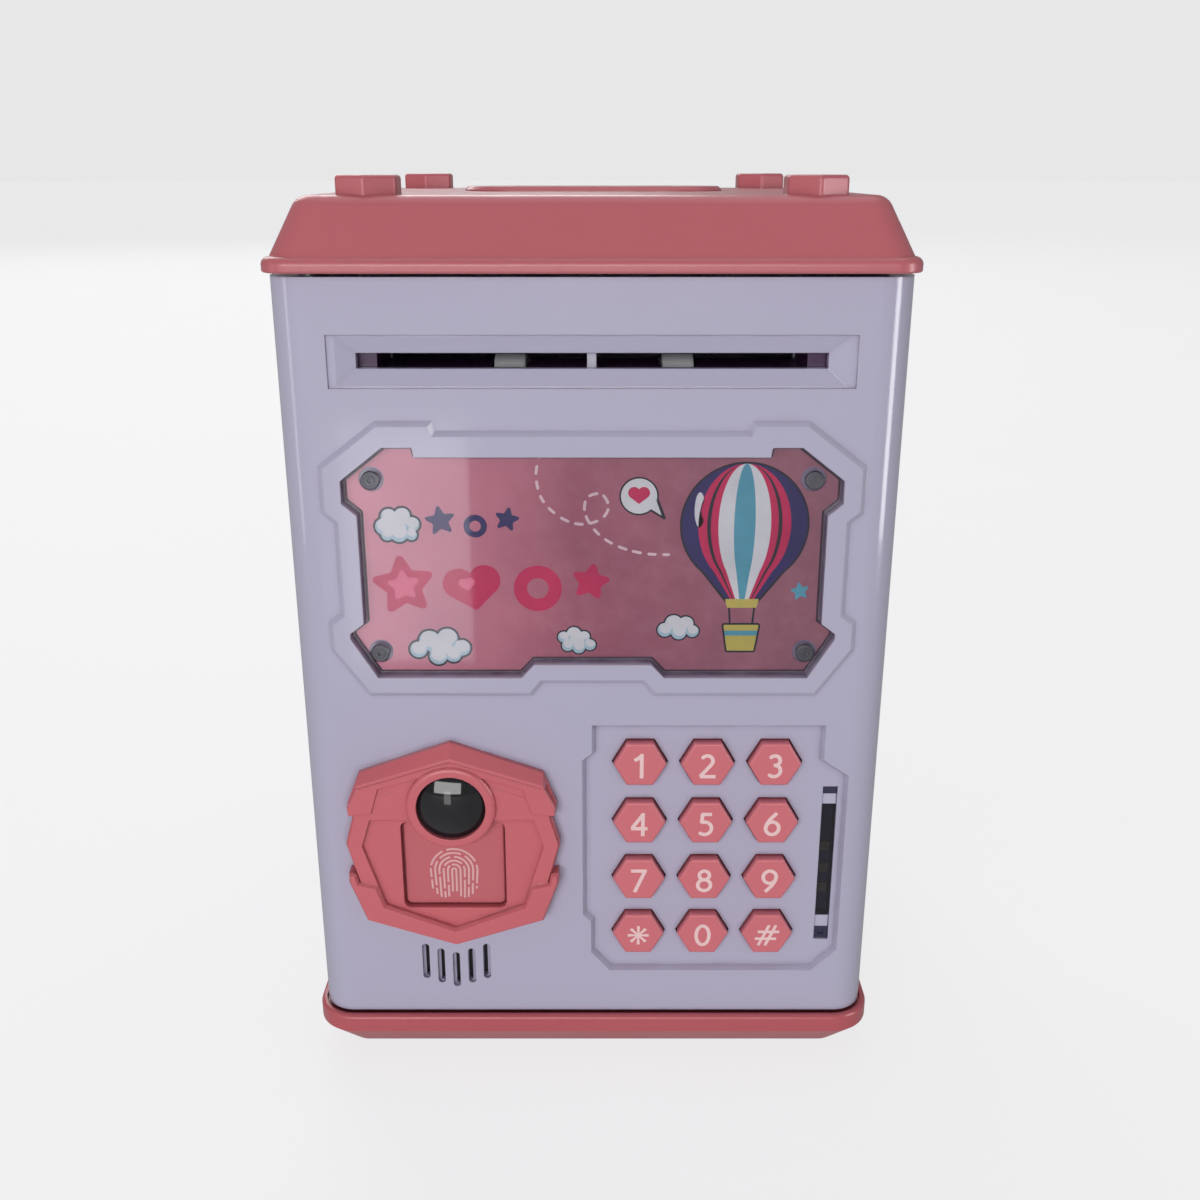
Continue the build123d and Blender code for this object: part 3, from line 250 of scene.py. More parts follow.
def see_through(name, tint_a, tint_b, ior, rough_a, rough_b, gloss=(0.95, 0.95, 1.0, 1), base=0.0):
    """Thin clear or smoked plastic: what is behind shows through it, and it mirrors more at a slant."""
    m, nt, out = new_mat(name)
    tc = nt.nodes.new("ShaderNodeTexCoord")
    vec = tc.outputs["Object"]
    tr = nt.nodes.new("ShaderNodeBsdfTransparent")
    gl = nt.nodes.new("ShaderNodeBsdfGlossy")
    gl.inputs["Color"].default_value = gloss
    lw = nt.nodes.new("ShaderNodeLayerWeight")
    lw.inputs["Blend"].default_value = 0.5
    f0 = ((ior - 1) / (ior + 1)) ** 2
    slant = math_node(nt, "MULTIPLY_ADD", math_node(nt, "POWER", lw.outputs["Facing"], 5.0), 0.85)
    slant.node.inputs[2].default_value = f0
    mx = nt.nodes.new("ShaderNodeMixShader")
    nt.links.new(mix_col(nt, map_range(nt, noise(nt, vec, 70.0, 3.0, 0.6), 0.0, 1.0), tint_a, tint_b), tr.inputs["Color"])
    smear = noise(nt, vec, 55.0, 4.0, 0.65, 0.6)
    nt.links.new(map_range(nt, smear, rough_a, rough_b), gl.inputs["Roughness"])
    fac = math_node(nt, "ADD", slant, map_range(nt, smear, base, base * 1.8))
    nt.links.new(math_node(nt, "MINIMUM", fac, 1.0), mx.inputs["Fac"])
    nt.links.new(tr.outputs[0], mx.inputs[1])
    nt.links.new(gl.outputs[0], mx.inputs[2])
    nt.links.new(mx.outputs[0], out.inputs["Surface"])
    return m


MAT["clear"] = see_through("clear_m", (0.97, 0.97, 0.98, 1), (0.93, 0.93, 0.95, 1), 1.36, 0.03, 0.06, base=0.002)
MAT["smoked"] = see_through("smoked_m", (0.40, 0.38, 0.46, 1), (0.33, 0.31, 0.38, 1), 1.5, 0.05, 0.12, base=0.01)


def print_material(name, base, var=0.06, mottle=120.0, rough=0.42, dots=0.0):
    """Printed ink on card: slight mottle and paper tooth."""
    m, nt, out = new_mat(name)
    p = nt.nodes.new("ShaderNodeBsdfPrincipled")
    nt.links.new(p.outputs[0], out.inputs["Surface"])
    tc = nt.nodes.new("ShaderNodeTexCoord")
    vec = tc.outputs["Object"]
    a = noise(nt, vec, mottle, 4.0, 0.65)
    b = noise(nt, vec, mottle * 18, 2.0, 0.6)
    col = mix_col(nt, map_range(nt, a, 0.0, 1.0, 0.3, 0.7), scaled(base, 1 - var), scaled(base, 1 + var))
    col = mix_col(nt, map_range(nt, b, 0.0, 0.12, 0.5, 0.72), col, scaled(base, 1 - 3 * var))
    nt.links.new(col, p.inputs["Base Color"])
    nt.links.new(map_range(nt, a, rough - 0.06, rough + 0.08), p.inputs["Roughness"])
    bp = nt.nodes.new("ShaderNodeBump")
    bp.inputs["Strength"].default_value = 0.12
    bp.inputs["Distance"].default_value = 0.02 * MM
    nt.links.new(noise(nt, vec, 2200.0, 3.0, 0.6), bp.inputs["Height"])
    nt.links.new(bp.outputs["Normal"], p.inputs["Normal"])
    p.inputs["Specular IOR Level"].default_value = 0.35
    return m


def card_material():
    """Pink printed ground, deeper to the right, with a faint halftone; its lighter rose at the left, out to about X =
    -21 mm, is partly print and partly a painted reflection on the clear cover.
    """
    m, nt, out = new_mat("card_ground_m")
    p = nt.nodes.new("ShaderNodeBsdfPrincipled")
    nt.links.new(p.outputs[0], out.inputs["Surface"])
    tc = nt.nodes.new("ShaderNodeTexCoord")
    vec = tc.outputs["Object"]
    sep = nt.nodes.new("ShaderNodeSeparateXYZ")
    nt.links.new(vec, sep.inputs[0])
    wob = noise(nt, vec, 45.0, 3.0, 0.6)
    x = math_node(nt, "ADD", sep.outputs["X"], math_node(nt, "MULTIPLY", math_node(nt, "SUBTRACT", wob, 0.5), 0.008))
    print_and_reflection_ramp = nt.nodes.new("ShaderNodeValToRGB")
    nt.links.new(map_range(nt, x, 0.0, 1.0, -0.048, 0.048), print_and_reflection_ramp.inputs["Fac"])
    cr = print_and_reflection_ramp.color_ramp
    cr.elements[0].position = 0.0
    cr.elements[0].color = (0.76, 0.270, 0.360, 1)
    cr.elements[1].position = 1.0
    cr.elements[1].color = (0.31, 0.105, 0.150, 1)
    # the light rose out to about X = -21 mm is print and painted reflection on the clear cover
    e = cr.elements.new(0.28)
    e.color = (0.58, 0.165, 0.235, 1)
    e = cr.elements.new(0.46)
    e.color = (0.38, 0.085, 0.140, 1)
    mott = noise(nt, vec, 260.0, 5.0, 0.7)
    col = mix_col(nt, map_range(nt, mott, 0.0, 0.16, 0.42, 0.66), print_and_reflection_ramp.outputs["Color"], (0.62, 0.28, 0.36, 1))
    fine = noise(nt, vec, 3200.0, 2.0, 0.5)
    col = mix_col(nt, map_range(nt, fine, 0.0, 0.14, 0.5, 0.7), col, (0.26, 0.075, 0.12, 1))
    nt.links.new(col, p.inputs["Base Color"])
    nt.links.new(map_range(nt, mott, 0.38, 0.52), p.inputs["Roughness"])
    bp = nt.nodes.new("ShaderNodeBump")
    bp.inputs["Strength"].default_value = 0.15
    bp.inputs["Distance"].default_value = 0.02 * MM
    nt.links.new(fine, bp.inputs["Height"])
    nt.links.new(bp.outputs["Normal"], p.inputs["Normal"])
    return m


MAT["print"] = card_material()
INK = {
    "white": print_material("ink_white_m", (0.72, 0.72, 0.74, 1), 0.05),
    "sky": print_material("ink_sky_m", (0.42, 0.58, 0.66, 1), 0.08),
    "line": print_material("ink_line_m", (0.012, 0.008, 0.022, 1), 0.15),
    "navy": print_material("ink_navy_m", (0.022, 0.012, 0.115, 1), 0.15),
    "magenta": print_material("ink_magenta_m", (0.60, 0.008, 0.095, 1), 0.09),
    "rose": print_material("ink_rose_m", (0.78, 0.12, 0.24, 1), 0.07),
    "teal": print_material("ink_teal_m", (0.09, 0.35, 0.46, 1), 0.09),
    "yellow": print_material("ink_yellow_m", (0.58, 0.48, 0.10, 1), 0.08),
    "dash": print_material("ink_dash_m", (0.80, 0.58, 0.63, 1), 0.06),
    "key": print_material("ink_key_m", (0.95, 0.66, 0.66, 1), 0.04, 300.0, 0.38),
    "finger": print_material("ink_finger_m", (0.80, 0.46, 0.47, 1), 0.05, 300.0, 0.40),
}

for name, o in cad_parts.items():
    for i, m in enumerate(o.data.materials):
        slot_name = m.name.split(".")[0]
        if slot_name in MAT:
            o.data.materials[i] = MAT[slot_name]
            if slot_name == "pink_plastic":
                o.data.materials[i] = KEY_PINK_LIT if name.startswith("key_") else PINK_LIT_AND_SHADED_BY_NODE.get(name, MAT[slot_name])
        else:
            raise RuntimeError("no material for slot " + m.name + " of " + name)


# ---------------------------------------------------------------------------
# flat shapes cut from signed distance functions, in mm, X to the right, Z up
# ---------------------------------------------------------------------------
def seg(px, pz, a, b):
    ax, az = a
    bx, bz = b
    dx, dz = bx - ax, bz - az
    t = np.clip(((px - ax) * dx + (pz - az) * dz) / max(dx * dx + dz * dz, 1e-12), 0, 1)
    return np.hypot(px - ax - t * dx, pz - az - t * dz)


def butt(px, pz, a, b, w):
    """Straight stroke with square ends."""
    ax, az = a
    bx, bz = b
    L = math.hypot(bx - ax, bz - az)
    ux, uz = (bx - ax) / L, (bz - az) / L
    u = (px - ax) * ux + (pz - az) * uz - L / 2
    v = -(px - ax) * uz + (pz - az) * ux
    du, dv = np.abs(u) - L / 2, np.abs(v) - w / 2
    return np.hypot(np.maximum(du, 0), np.maximum(dv, 0)) + np.minimum(np.maximum(du, dv), 0)


def stroke(px, pz, pts, w):
    """A stroke along a path, square at its two ends and round at its joints."""
    d = butt(px, pz, pts[0], pts[1], w)
    n = len(pts)
    for k in range(1, n - 1):
        d = np.minimum(d, butt(px, pz, pts[k], pts[k + 1], w))
        d = np.minimum(d, np.hypot(px - pts[k][0], pz - pts[k][1]) - w / 2)
    return d


def arc(cx, cz, rx, rz, a0, a1, n=18):
    return [(cx + rx * math.cos(math.radians(a0 + (a1 - a0) * k / n)), cz + rz * math.sin(math.radians(a0 + (a1 - a0) * k / n))) for k in range(n + 1)]


def circle(px, pz, x, z, r):
    return np.hypot(px - x, pz - z) - r


def ellipse(px, pz, x, z, rx, rz):
    k0 = np.hypot((px - x) / rx, (pz - z) / rz)
    k1 = np.hypot((px - x) / rx ** 2, (pz - z) / rz ** 2)
    return np.where(k1 > 1e-9, k0 * (k0 - 1) / np.maximum(k1, 1e-9), -min(rx, rz))


def poly(px, pz, pts):
    """Exact distance to a closed polygon, negative inside."""
    d = np.full(px.shape, 1e9)
    inside = np.zeros(px.shape, bool)
    n = len(pts)
    for i in range(n):
        a, b = pts[i], pts[(i + 1) % n]
        d = np.minimum(d, seg(px, pz, a, b))
        cond = ((a[1] > pz) != (b[1] > pz))
        if abs(b[1] - a[1]) > 1e-12:
            xi = a[0] + (pz - a[1]) * (b[0] - a[0]) / (b[1] - a[1])
            inside ^= cond & (px < xi)
    return np.where(inside, -d, d)


def plate(name, fn, bounds, step, y_back, y_front, mat, body):
    """A thin solid whose outline is fn(x, z) = 0, cut on a grid with the outline interpolated between its points."""
    x0, x1, z0, z1 = bounds
    nx, nz = int(math.ceil((x1 - x0) / step)), int(math.ceil((z1 - z0) / step))
    xs, zs = x0 + np.arange(nx + 1) * step, z0 + np.arange(nz + 1) * step
    X, Z = np.meshgrid(xs, zs, indexing="ij")
    V = fn(X, Z)
    V = np.where(np.abs(V) < 1e-5, 1e-5, V)
    V[0, :] = V[-1, :] = 1.0
    V[:, 0] = V[:, -1] = 1.0
    inside = V < 0
    cells = inside[:-1, :-1] | inside[1:, :-1] | inside[1:, 1:] | inside[:-1, 1:]
    verts, index, faces = [], {}, []

    def vid(key, x, z):
        if key not in index:
            index[key] = len(verts)
            verts.append((x, z))
        return index[key]

    for i, j in zip(*np.nonzero(cells)):
        cor = ((i, j), (i + 1, j), (i + 1, j + 1), (i, j + 1))
        f = []
        for k in range(4):
            a, b = cor[k], cor[(k + 1) % 4]
            va, vb = V[a], V[b]
            if va < 0:
                f.append(vid((a[0], a[1], 0), xs[a[0]], zs[a[1]]))
            if (va < 0) != (vb < 0):
                t = va / (va - vb)
                lo, hi = min(a, b), max(a, b)
                key = (lo[0], lo[1], 1 if hi[0] > lo[0] else 2)
                f.append(vid(key, xs[a[0]] + t * (xs[b[0]] - xs[a[0]]), zs[a[1]] + t * (zs[b[1]] - zs[a[1]])))
        if len(f) >= 3:
            faces.append(f)
    bm = bmesh.new()
    bv = [bm.verts.new((x * MM, y_front * MM, z * MM)) for x, z in verts]
    for f in faces:
        try:
            bm.faces.new([bv[i] for i in f])
        except ValueError:
            pass
    bmesh.ops.dissolve_limit(bm, angle_limit=math.radians(0.5), verts=bm.verts[:], edges=bm.edges[:])
    for v in [v for v in bm.verts if not v.link_faces]:
        bm.verts.remove(v)
    # outline points that lie on a straight line go, so that side walls are clean
    bm.verts.index_update()
    bm.verts.ensure_lookup_table()
    co = [(v.co.x, v.co.z) for v in bm.verts]
    ff = [[v.index for v in f.verts] for f in bm.faces]
    # faces face -Y
    for k, f in enumerate(bm.faces):
        f.normal_update()
        if f.normal.y > 0:
            ff[k].reverse()
    bm.free()
    n = len(co)
    pts = [(x, y_front * MM, z) for x, z in co] + [(x, y_back * MM, z) for x, z in co]
    directed = set()
    for f in ff:
        for a, b in zip(f, f[1:] + f[:1]):
            directed.add((a, b))
    out = [list(f) for f in ff] + [[i + n for i in reversed(f)] for f in ff]
    for a, b in directed:
        if (b, a) not in directed:
            out.append([b, a, a + n, b + n])
    me = bpy.data.meshes.new(name)
    me.from_pydata(pts, [], out)
    me.validate()
    me.update()
    o = bpy.data.objects.new(name, me)
    scene.collection.objects.link(o)
    me.materials.append(mat)
    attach(o, body)
    return o


# ---------------------------------------------------------------------------
# numbers and signs on the keys
# ---------------------------------------------------------------------------
W = 0.80
KEY_X = (10.06, 24.43, 38.8)
KEY_Z = (74.2, 60.24, 46.28, 32.32)


def glyph(name, x, z):
    S = lambda *pts, w=W: stroke(x, z, list(pts), w)
    P = lambda pts, w=W: stroke(x, z, pts, w)
    if name == "1":
        return np.minimum(S((0.32, 2.85), (0.32, -2.85)), S((-1.25, 1.35), (-0.55, 1.72), (0.32, 2.48)))
    if name == "2":
        return np.minimum(P(arc(-0.12, 1.22, 1.2, 1.23, 150, -18, 16) + [(0.62, 0.15), (-1.55, -2.40)]), S((-1.62, -2.45), (1.75, -2.45)))
    if name == "3":
        return np.minimum(P(arc(-0.12, 1.30, 1.12, 1.14, 150, -95, 18)), P(arc(-0.22, -1.08, 1.38, 1.36, 92, -142, 20)))
    if name == "4":
        d = np.minimum(S((0.72, 2.75), (0.72, -2.85)), S((0.85, 2.55), (-1.62, -0.92)))
        return np.minimum(d, S((-1.85, -1.02), (1.75, -1.02)))
    if name == "5":
        d = np.minimum(S((-0.95, 2.45), (1.25, 2.45)), S((-0.75, 2.6), (-0.95, 0.30)))
        return np.minimum(d, P([(-0.98, 0.42)] + arc(-0.28, -0.92, 1.5, 1.52, 108, -138, 20)))
    if name in ("6", "9"):
        k = 1 if name == "6" else -1
        px, pz = x * k, z * k
        d = np.abs(ellipse(px, pz, 0.0, -0.92, 1.42, 1.52)) - W / 2
        return np.minimum(d, stroke(px, pz, [(-1.40, -0.95), (-1.22, 0.05), (-0.62, 1.12), (0.88, 2.78)], W))
    if name == "7":
        return np.minimum(S((-1.75, 2.45), (1.72, 2.45)), S((1.32, 2.45), (-0.92, -2.85)))
    if name == "8":
        a = np.abs(ellipse(x, z, 0.0, 1.36, 1.10, 1.09)) - W / 2
        b = np.abs(ellipse(x, z, 0.0, -1.09, 1.40, 1.37)) - W / 2
        return np.minimum(a, b)
    if name == "0":
        return np.abs(ellipse(x, z, 0.0, 0.0, 1.43, 2.40)) - W / 2
    if name == "star":
        d = None
        for k in range(8):
            a = math.radians(90 + 45 * k)
            tip = (2.35 * math.cos(a), 2.35 * math.sin(a))
            e = poly(x, z, [(0.16 * math.sin(a), -0.16 * math.cos(a)), (-0.16 * math.sin(a), 0.16 * math.cos(a)),
                            (tip[0] - 0.36 * math.sin(a), tip[1] + 0.36 * math.cos(a)), (tip[0] + 0.36 * math.sin(a), tip[1] - 0.36 * math.cos(a))])
            d = e if d is None else np.minimum(d, e)
        return np.minimum(d, circle(x, z, 0, 0, 0.42))
    if name == "hash":
        d = np.minimum(S((-1.85, -2.62), (0.45, 2.62), w=0.66), S((-0.35, -2.62), (1.95, 2.62), w=0.66))
        d = np.minimum(d, S((-2.05, 0.90), (2.75, 0.90), w=0.66))
        return np.minimum(d, S((-2.65, -0.88), (2.15, -0.88), w=0.66))
    raise KeyError(name)


NAMES = ["1", "2", "3", "4", "5", "6", "7", "8", "9", "star", "0", "hash"]
k = 0
for zc in KEY_Z:
    for xc in KEY_X:
        nm = NAMES[k]
        lo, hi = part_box("key_" + nm)
        face = lo.y / MM
        plate("glyph_" + nm, lambda X, Z, nm=nm, xc=xc, zc=zc: glyph(nm, X - xc, (Z - zc + 0.30)), (xc - 3.3, xc + 3.3, zc - 3.6, zc + 3.1), 0.09,
              face + 0.08, face - 0.035, INK["key"], "key_" + nm)
        k += 1

# ---------------------------------------------------------------------------
# the print on the fingerprint pad: nested arches with breaks
# ---------------------------------------------------------------------------
FX, FZ = -30.4, 48.35


def finger(X, Z):
    x, z = X - FX, Z - FZ
    cz = 0.7
    out = np.full(X.shape, 9.0)
    breaks = {1: [(118, 9)], 2: [(35, 8), (160, 7)], 3: [(96, 7)], 4: [(62, 6), (142, 6)], 5: [(20, 5), (112, 5), (170, 4)]}
    legs = {0: -4.6, 1: -5.9, 2: -6.2, 3: -6.0, 4: -5.3, 5: -3.9}
    gaps = {1: [(-1, -2.6)], 2: [(1, -1.4), (-1, -4.2)], 3: [(-1, -0.6), (1, -3.2)], 4: [(1, -2.2), (-1, -3.4)], 5: [(-1, -1.3), (1, -2.9)]}
    for k in range(6):
        r = 0.45 + 0.93 * k
        w = 0.44
        # the legs draw together a little toward the bottom
        bend = 0.013 * k * (cz - z)
        dist = np.where(z >= cz, np.abs(np.hypot(x, (z - cz) * 0.97) - r), np.abs(np.abs(x) + bend - r)) - w / 2
        d = np.where(z >= cz, dist, np.maximum(dist, legs[k] - z))
        for a, h in breaks.get(k, []):
            ang = np.degrees(np.arctan2(z - cz, x))
            d = np.where(z >= cz, np.maximum(d, (h - np.abs(ang - a)) * 0.02 * r), d)
        for s, zz in gaps.get(k, []):
            d = np.where((z < cz) & (np.sign(x) == s), np.maximum(d, 0.32 - np.abs(z - zz)), d)
        out = np.minimum(out, d)
    return out


lo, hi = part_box("fingerprint_pad")
pad_face = -57.4
plate("finger_print", finger, (FX - 6.3, FX + 6.3, FZ - 6.8, FZ + 6.8), 0.085, pad_face + 0.08, pad_face - 0.03, INK["finger"], "fingerprint_pad")

# ---------------------------------------------------------------------------
# picture on the card: clouds, a dashed path, hearts, stars and a striped balloon
# ---------------------------------------------------------------------------
CARD = -54.4


def art(name, fn, bounds, ink, layer, step=0.14):
    plate("art_" + name, fn, bounds, step, CARD - 0.004, CARD - 0.018 - 0.018 * layer, INK[ink], "door")


def cloud_fn(blobs, grow=0.0):
    def fn(X, Z):
        d = np.full(X.shape, 99.0)
        for bx, bz, r in blobs:
            d = np.minimum(d, circle(X, Z, bx, bz, r + grow))
        return d
    return fn


def cloud(name, cx, cz, s, blobs, line=0.46):
    bl = [(cx + bx * s, cz + bz * s, r * s) for bx, bz, r in blobs]
    xs0 = min(b[0] - b[2] for b in bl) - 1
    xs1 = max(b[0] + b[2] for b in bl) + 1
    zs0 = min(b[1] - b[2] for b in bl) - 1
    zs1 = max(b[1] + b[2] for b in bl) + 1
    bb = (xs0, xs1, zs0, zs1)
    art(name + "_line", cloud_fn(bl, line), bb, "line", 0, 0.12)
    art(name + "_fill", cloud_fn(bl), bb, "sky", 1, 0.12)
    up = [(bx + 0.12 * s, bz + 0.55 * s, r * 0.86) for bx, bz, r in bl]
    inner = cloud_fn(bl, -0.06)
    top = cloud_fn(up)
    art(name + "_top", lambda X, Z: np.maximum(inner(X, Z), top(X, Z)), bb, "white", 2, 0.12)


def star_pts(cx, cz, R, rot=0.0, n=5, q=0.45):
    out = []
    for i in range(2 * n):
        r = R if i % 2 == 0 else R * q
        a = math.radians(90 + rot + i * 180 / n)
        out.append((cx + r * math.cos(a), cz + r * math.sin(a)))
    return out


def star_fn(cx, cz, R, rot=0.0, soft=0.35, q=0.45):
    pts = star_pts(cx, cz, R - soft, rot, q=q)
    return lambda X, Z: poly(X, Z, pts) - soft


def heart_fn(cx, cz, s, rot=0.0):
    c, sn = math.cos(math.radians(rot)), math.sin(math.radians(rot))

    def fn(X, Z):
        x, z = ((X - cx) * c + (Z - cz) * sn) / s, (-(X - cx) * sn + (Z - cz) * c) / s
        z = z + 0.55
        x = np.abs(x)
        a = np.hypot(x - 0.5, z - 1.0) - 0.5
        v = poly(x, z, [(0.0, 0.0), (0.88, 0.68), (0.98, 1.0), (0.5, 1.25), (0.0, 1.0)])
        t = poly(x, z, [(-0.2, 0.0), (0.0, -0.02), (0.86, 0.66), (0.5, 1.1), (-0.2, 1.0)])
        return np.minimum(np.minimum(a, v), t) * s - 0.12 * s
    return fn


# clouds where the panel has them
cloud("cloud_a", -39.4, 126.6, 1.0, [(-2.6, -0.5, 1.7), (-1.5, 1.6, 1.6), (1.2, 1.8, 1.6), (3.1, 0.0, 1.5), (2.9, -2.2, 1.1), (0.4, -1.9, 1.8), (-2.0, -2.2, 1.2), (0.0, 0.2, 2.2)])
cloud("cloud_b", -31.6, 100.3, 0.92, [(-5.0, -0.7, 1.9), (-2.4, 1.4, 2.4), (1.6, 2.0, 2.3), (4.8, -0.3, 1.9), (2.8, -1.9, 1.8), (-0.6, -2.3, 2.0), (0.0, 0.0, 2.8)])
cloud("cloud_c", -3.3, 101.6, 1.0, [(-2.7, 0.8, 1.2), (-0.6, 1.5, 1.5), (1.5, 0.9, 1.2), (2.7, -0.9, 1.2), (0.4, -1.5, 1.3), (-1.9, -1.1, 1.2), (0.0, 0.0, 1.7)], 0.32)

# dashed path with one loop
def dash_points():
    # control points of the path, then a smooth line through them
    ctrl = [(-10.2, 141.6), (-11.2, 136.6), (-10.0, 131.6), (-6.4, 128.0), (-2.4, 126.6), (1.6, 127.6), (3.2, 130.2),
            (1.8, 132.8), (-0.9, 132.2), (-1.6, 129.4), (-0.2, 126.2), (2.6, 123.4), (6.6, 121.4), (11.0, 120.4), (15.6, 120.2)]
    out = []
    P = [ctrl[0]] + ctrl + [ctrl[-1]]
    for i in range(1, len(P) - 2):
        for t in np.linspace(0, 1, 24, endpoint=False):
            t2, t3 = t * t, t * t * t
            out.append(tuple(0.5 * ((2 * P[i][q]) + (-P[i - 1][q] + P[i + 1][q]) * t + (2 * P[i - 1][q] - 5 * P[i][q] + 4 * P[i + 1][q] - P[i + 2][q]) * t2 + (-P[i - 1][q] + 3 * P[i][q] - 3 * P[i + 1][q] + P[i + 2][q]) * t3) for q in (0, 1)))
    out.append(ctrl[-1])
    return out


def dashes(X, Z):
    pts = dash_points()
    d = np.full(X.shape, 9.0)
    s, on = 0.0, []
    period, length = 3.1, 1.7
    cur = []
    for a, b in zip(pts[:-1], pts[1:]):
        L = math.hypot(b[0] - a[0], b[1] - a[1])
        if (s % period) < length:
            cur.append(a)
        elif len(cur) > 1:
            on.append(cur)
            cur = []
        else:
            cur = []
        s += L
    if len(cur) > 1:
        on.append(cur)
    for path in on:
        lo_x, hi_x = min(p[0] for p in path) - 1, max(p[0] for p in path) + 1
        lo_z, hi_z = min(p[1] for p in path) - 1, max(p[1] for p in path) + 1
        msk = (X > lo_x) & (X < hi_x) & (Z > lo_z) & (Z < hi_z)
        if msk.any():
            dd = np.full(int(msk.sum()), 9.0)
            for a, b in zip(path[::2][:-1], path[::2][1:]):
                dd = np.minimum(dd, seg(X[msk], Z[msk], a, b) - 0.29)
            d[msk] = np.minimum(d[msk], dd)
    return d


art("dashes", dashes, (-12.6, 17.4, 118.4, 141.4), "dash", 0, 0.13)

# speech balloon with a heart
WIN_R = [(34.9, 140.85), (35.2, 142.75), (41.1, 142.75), (49.6, 136.1), (49.6, 131.5), (46.7, 129.0), (46.7, 106.3),
         (49.6, 104.1), (49.6, 102.9), (44.4, 94.4), (14.75, 94.4), (12.1, 97.3)]
WIN = [(-x, z) for x, z in WIN_R] + [(x, z) for x, z in reversed(WIN_R)]
# painted shade: a dark ring 0.3 to 0.7 mm inside the window outline, where the gap beside the cover falls into shade
INK["edge"] = print_material("painted_shade_edge_m", (0.045, 0.018, 0.034, 1), 0.2)
art("panel_shade_edge", lambda X, Z: np.maximum(poly(X, Z, WIN) + 0.31, -poly(X, Z, WIN) - 0.74), (-50.0, 50.0, 94.0, 143.2), "edge", 0, 0.125)
art("bubble_line", lambda X, Z: np.minimum(circle(X, Z, 9.3, 132.4, 3.95), poly(X, Z, [(10.4, 130.4), (14.4, 127.9), (12.9, 131.9)]) - 0.3), (4.6, 15.4, 127.0, 137.4), "line", 0, 0.12)
art("bubble_fill", lambda X, Z: np.minimum(circle(X, Z, 9.3, 132.4, 3.6), poly(X, Z, [(10.6, 130.6), (13.7, 128.6), (12.5, 131.9)]) - 0.1), (4.6, 15.4, 127.0, 137.4), "white", 1, 0.12)
art("bubble_heart", heart_fn(9.3, 132.2, 1.95), (6.0, 12.6, 129.4, 135.6), "magenta", 2, 0.1)

# upper row of small navy shapes, lower row of large magenta shapes
art("n_star_a", star_fn(-30.6, 127.3, 3.1, 8), (-35, -26, 123, 132), "navy", 0)
art("n_ring", lambda X, Z: np.abs(circle(X, Z, -23.6, 126.2, 1.75)) - 0.62, (-27, -20, 122.5, 130), "navy", 0)
art("n_star_b", star_fn(-17.2, 127.6, 2.5, -12), (-21, -13.5, 124, 131.5), "navy", 0)
art("m_star", star_fn(-38.6, 113.6, 6.4, 6, 0.9, 0.5), (-46, -31, 106, 121.5), "magenta", 0)
art("m_star_in", star_fn(-38.6, 113.6, 3.3, 6, 0.5, 0.5), (-43, -34, 109, 118), "rose", 1)
art("m_heart", heart_fn(-24.4, 112.0, 5.3, 8), (-32.5, -16.5, 104.5, 120.5), "magenta", 0)
art("m_heart_in", heart_fn(-25.6, 113.6, 1.5, 8), (-29, -22, 110, 117.5), "rose", 1)
art("m_ring", lambda X, Z: np.abs(circle(X, Z, -11.2, 113.0, 3.55)) - 1.35, (-17, -5.5, 107.5, 118.6), "magenta", 0)
art("m_small_star", star_fn(-0.4, 114.4, 3.9, -10, 0.6, 0.5), (-5.4, 4.6, 109.5, 119.4), "magenta", 0)

# striped balloon
BX, BZ, BR = 30.6, 126.4, 12.6


def envelope(X, Z, grow=0.0, squeeze=1.0):
    ball = ellipse(X, Z, BX, BZ, (BR + grow) * squeeze, BR + grow)
    neck = poly(X, Z, [(BX - (BR * 0.86 + grow) * squeeze, BZ - BR * 0.5), (BX + (BR * 0.86 + grow) * squeeze, BZ - BR * 0.5),
                       (BX + (3.0 + grow) * squeeze, BZ - BR - 3.4 - grow), (BX - (3.0 + grow) * squeeze, BZ - BR - 3.4 - grow)])
    return np.minimum(ball, neck)


bb = (BX - 14.4, BX + 14.4, BZ - 18.2, BZ + 13.8)
art("balloon_line", lambda X, Z: envelope(X, Z, 0.42), bb, "line", 1, 0.13)
art("balloon_navy", lambda X, Z: envelope(X, Z), bb, "navy", 2, 0.13)
art("balloon_magenta", lambda X, Z: envelope(X, Z, 0.0, 0.74), bb, "magenta", 3, 0.13)
art("balloon_white", lambda X, Z: envelope(X, Z, 0.0, 0.42), bb, "white", 4, 0.13)
art("balloon_teal", lambda X, Z: envelope(X, Z, 0.0, 0.17), bb, "teal", 5, 0.13)
for s, nm in ((-1, "l"), (1, "r")):
    art("balloon_gore_" + nm, lambda X, Z, s=s: np.maximum(np.maximum(envelope(X, Z, 0.0, 0.60), -envelope(X, Z, 0.0, 0.54)), -(X - BX) * s), bb, "line", 4, 0.13)
art("balloon_shine", lambda X, Z: np.maximum(ellipse(X, Z, BX - 9.1, BZ + 3.2, 1.05, 3.6), -circle(X, Z, BX - 5.0, BZ + 3.0, 3.8)), bb, "white", 3, 0.12)
art("balloon_band", lambda X, Z: poly(X, Z, [(BX - 3.3, BZ - BR - 3.2), (BX + 3.3, BZ - BR - 3.2), (BX + 2.9, BZ - BR - 4.8), (BX - 2.9, BZ - BR - 4.8)]) - 0.15, bb, "yellow", 6, 0.12)
art("balloon_ropes", lambda X, Z: np.minimum(seg(X, Z, (BX - 2.6, 109.0), (BX - 2.2, 104.0)), seg(X, Z, (BX + 2.6, 109.0), (BX + 2.2, 104.0))) - 0.2, (BX - 4, BX + 4, 103.4, 110), "line", 1, 0.1)
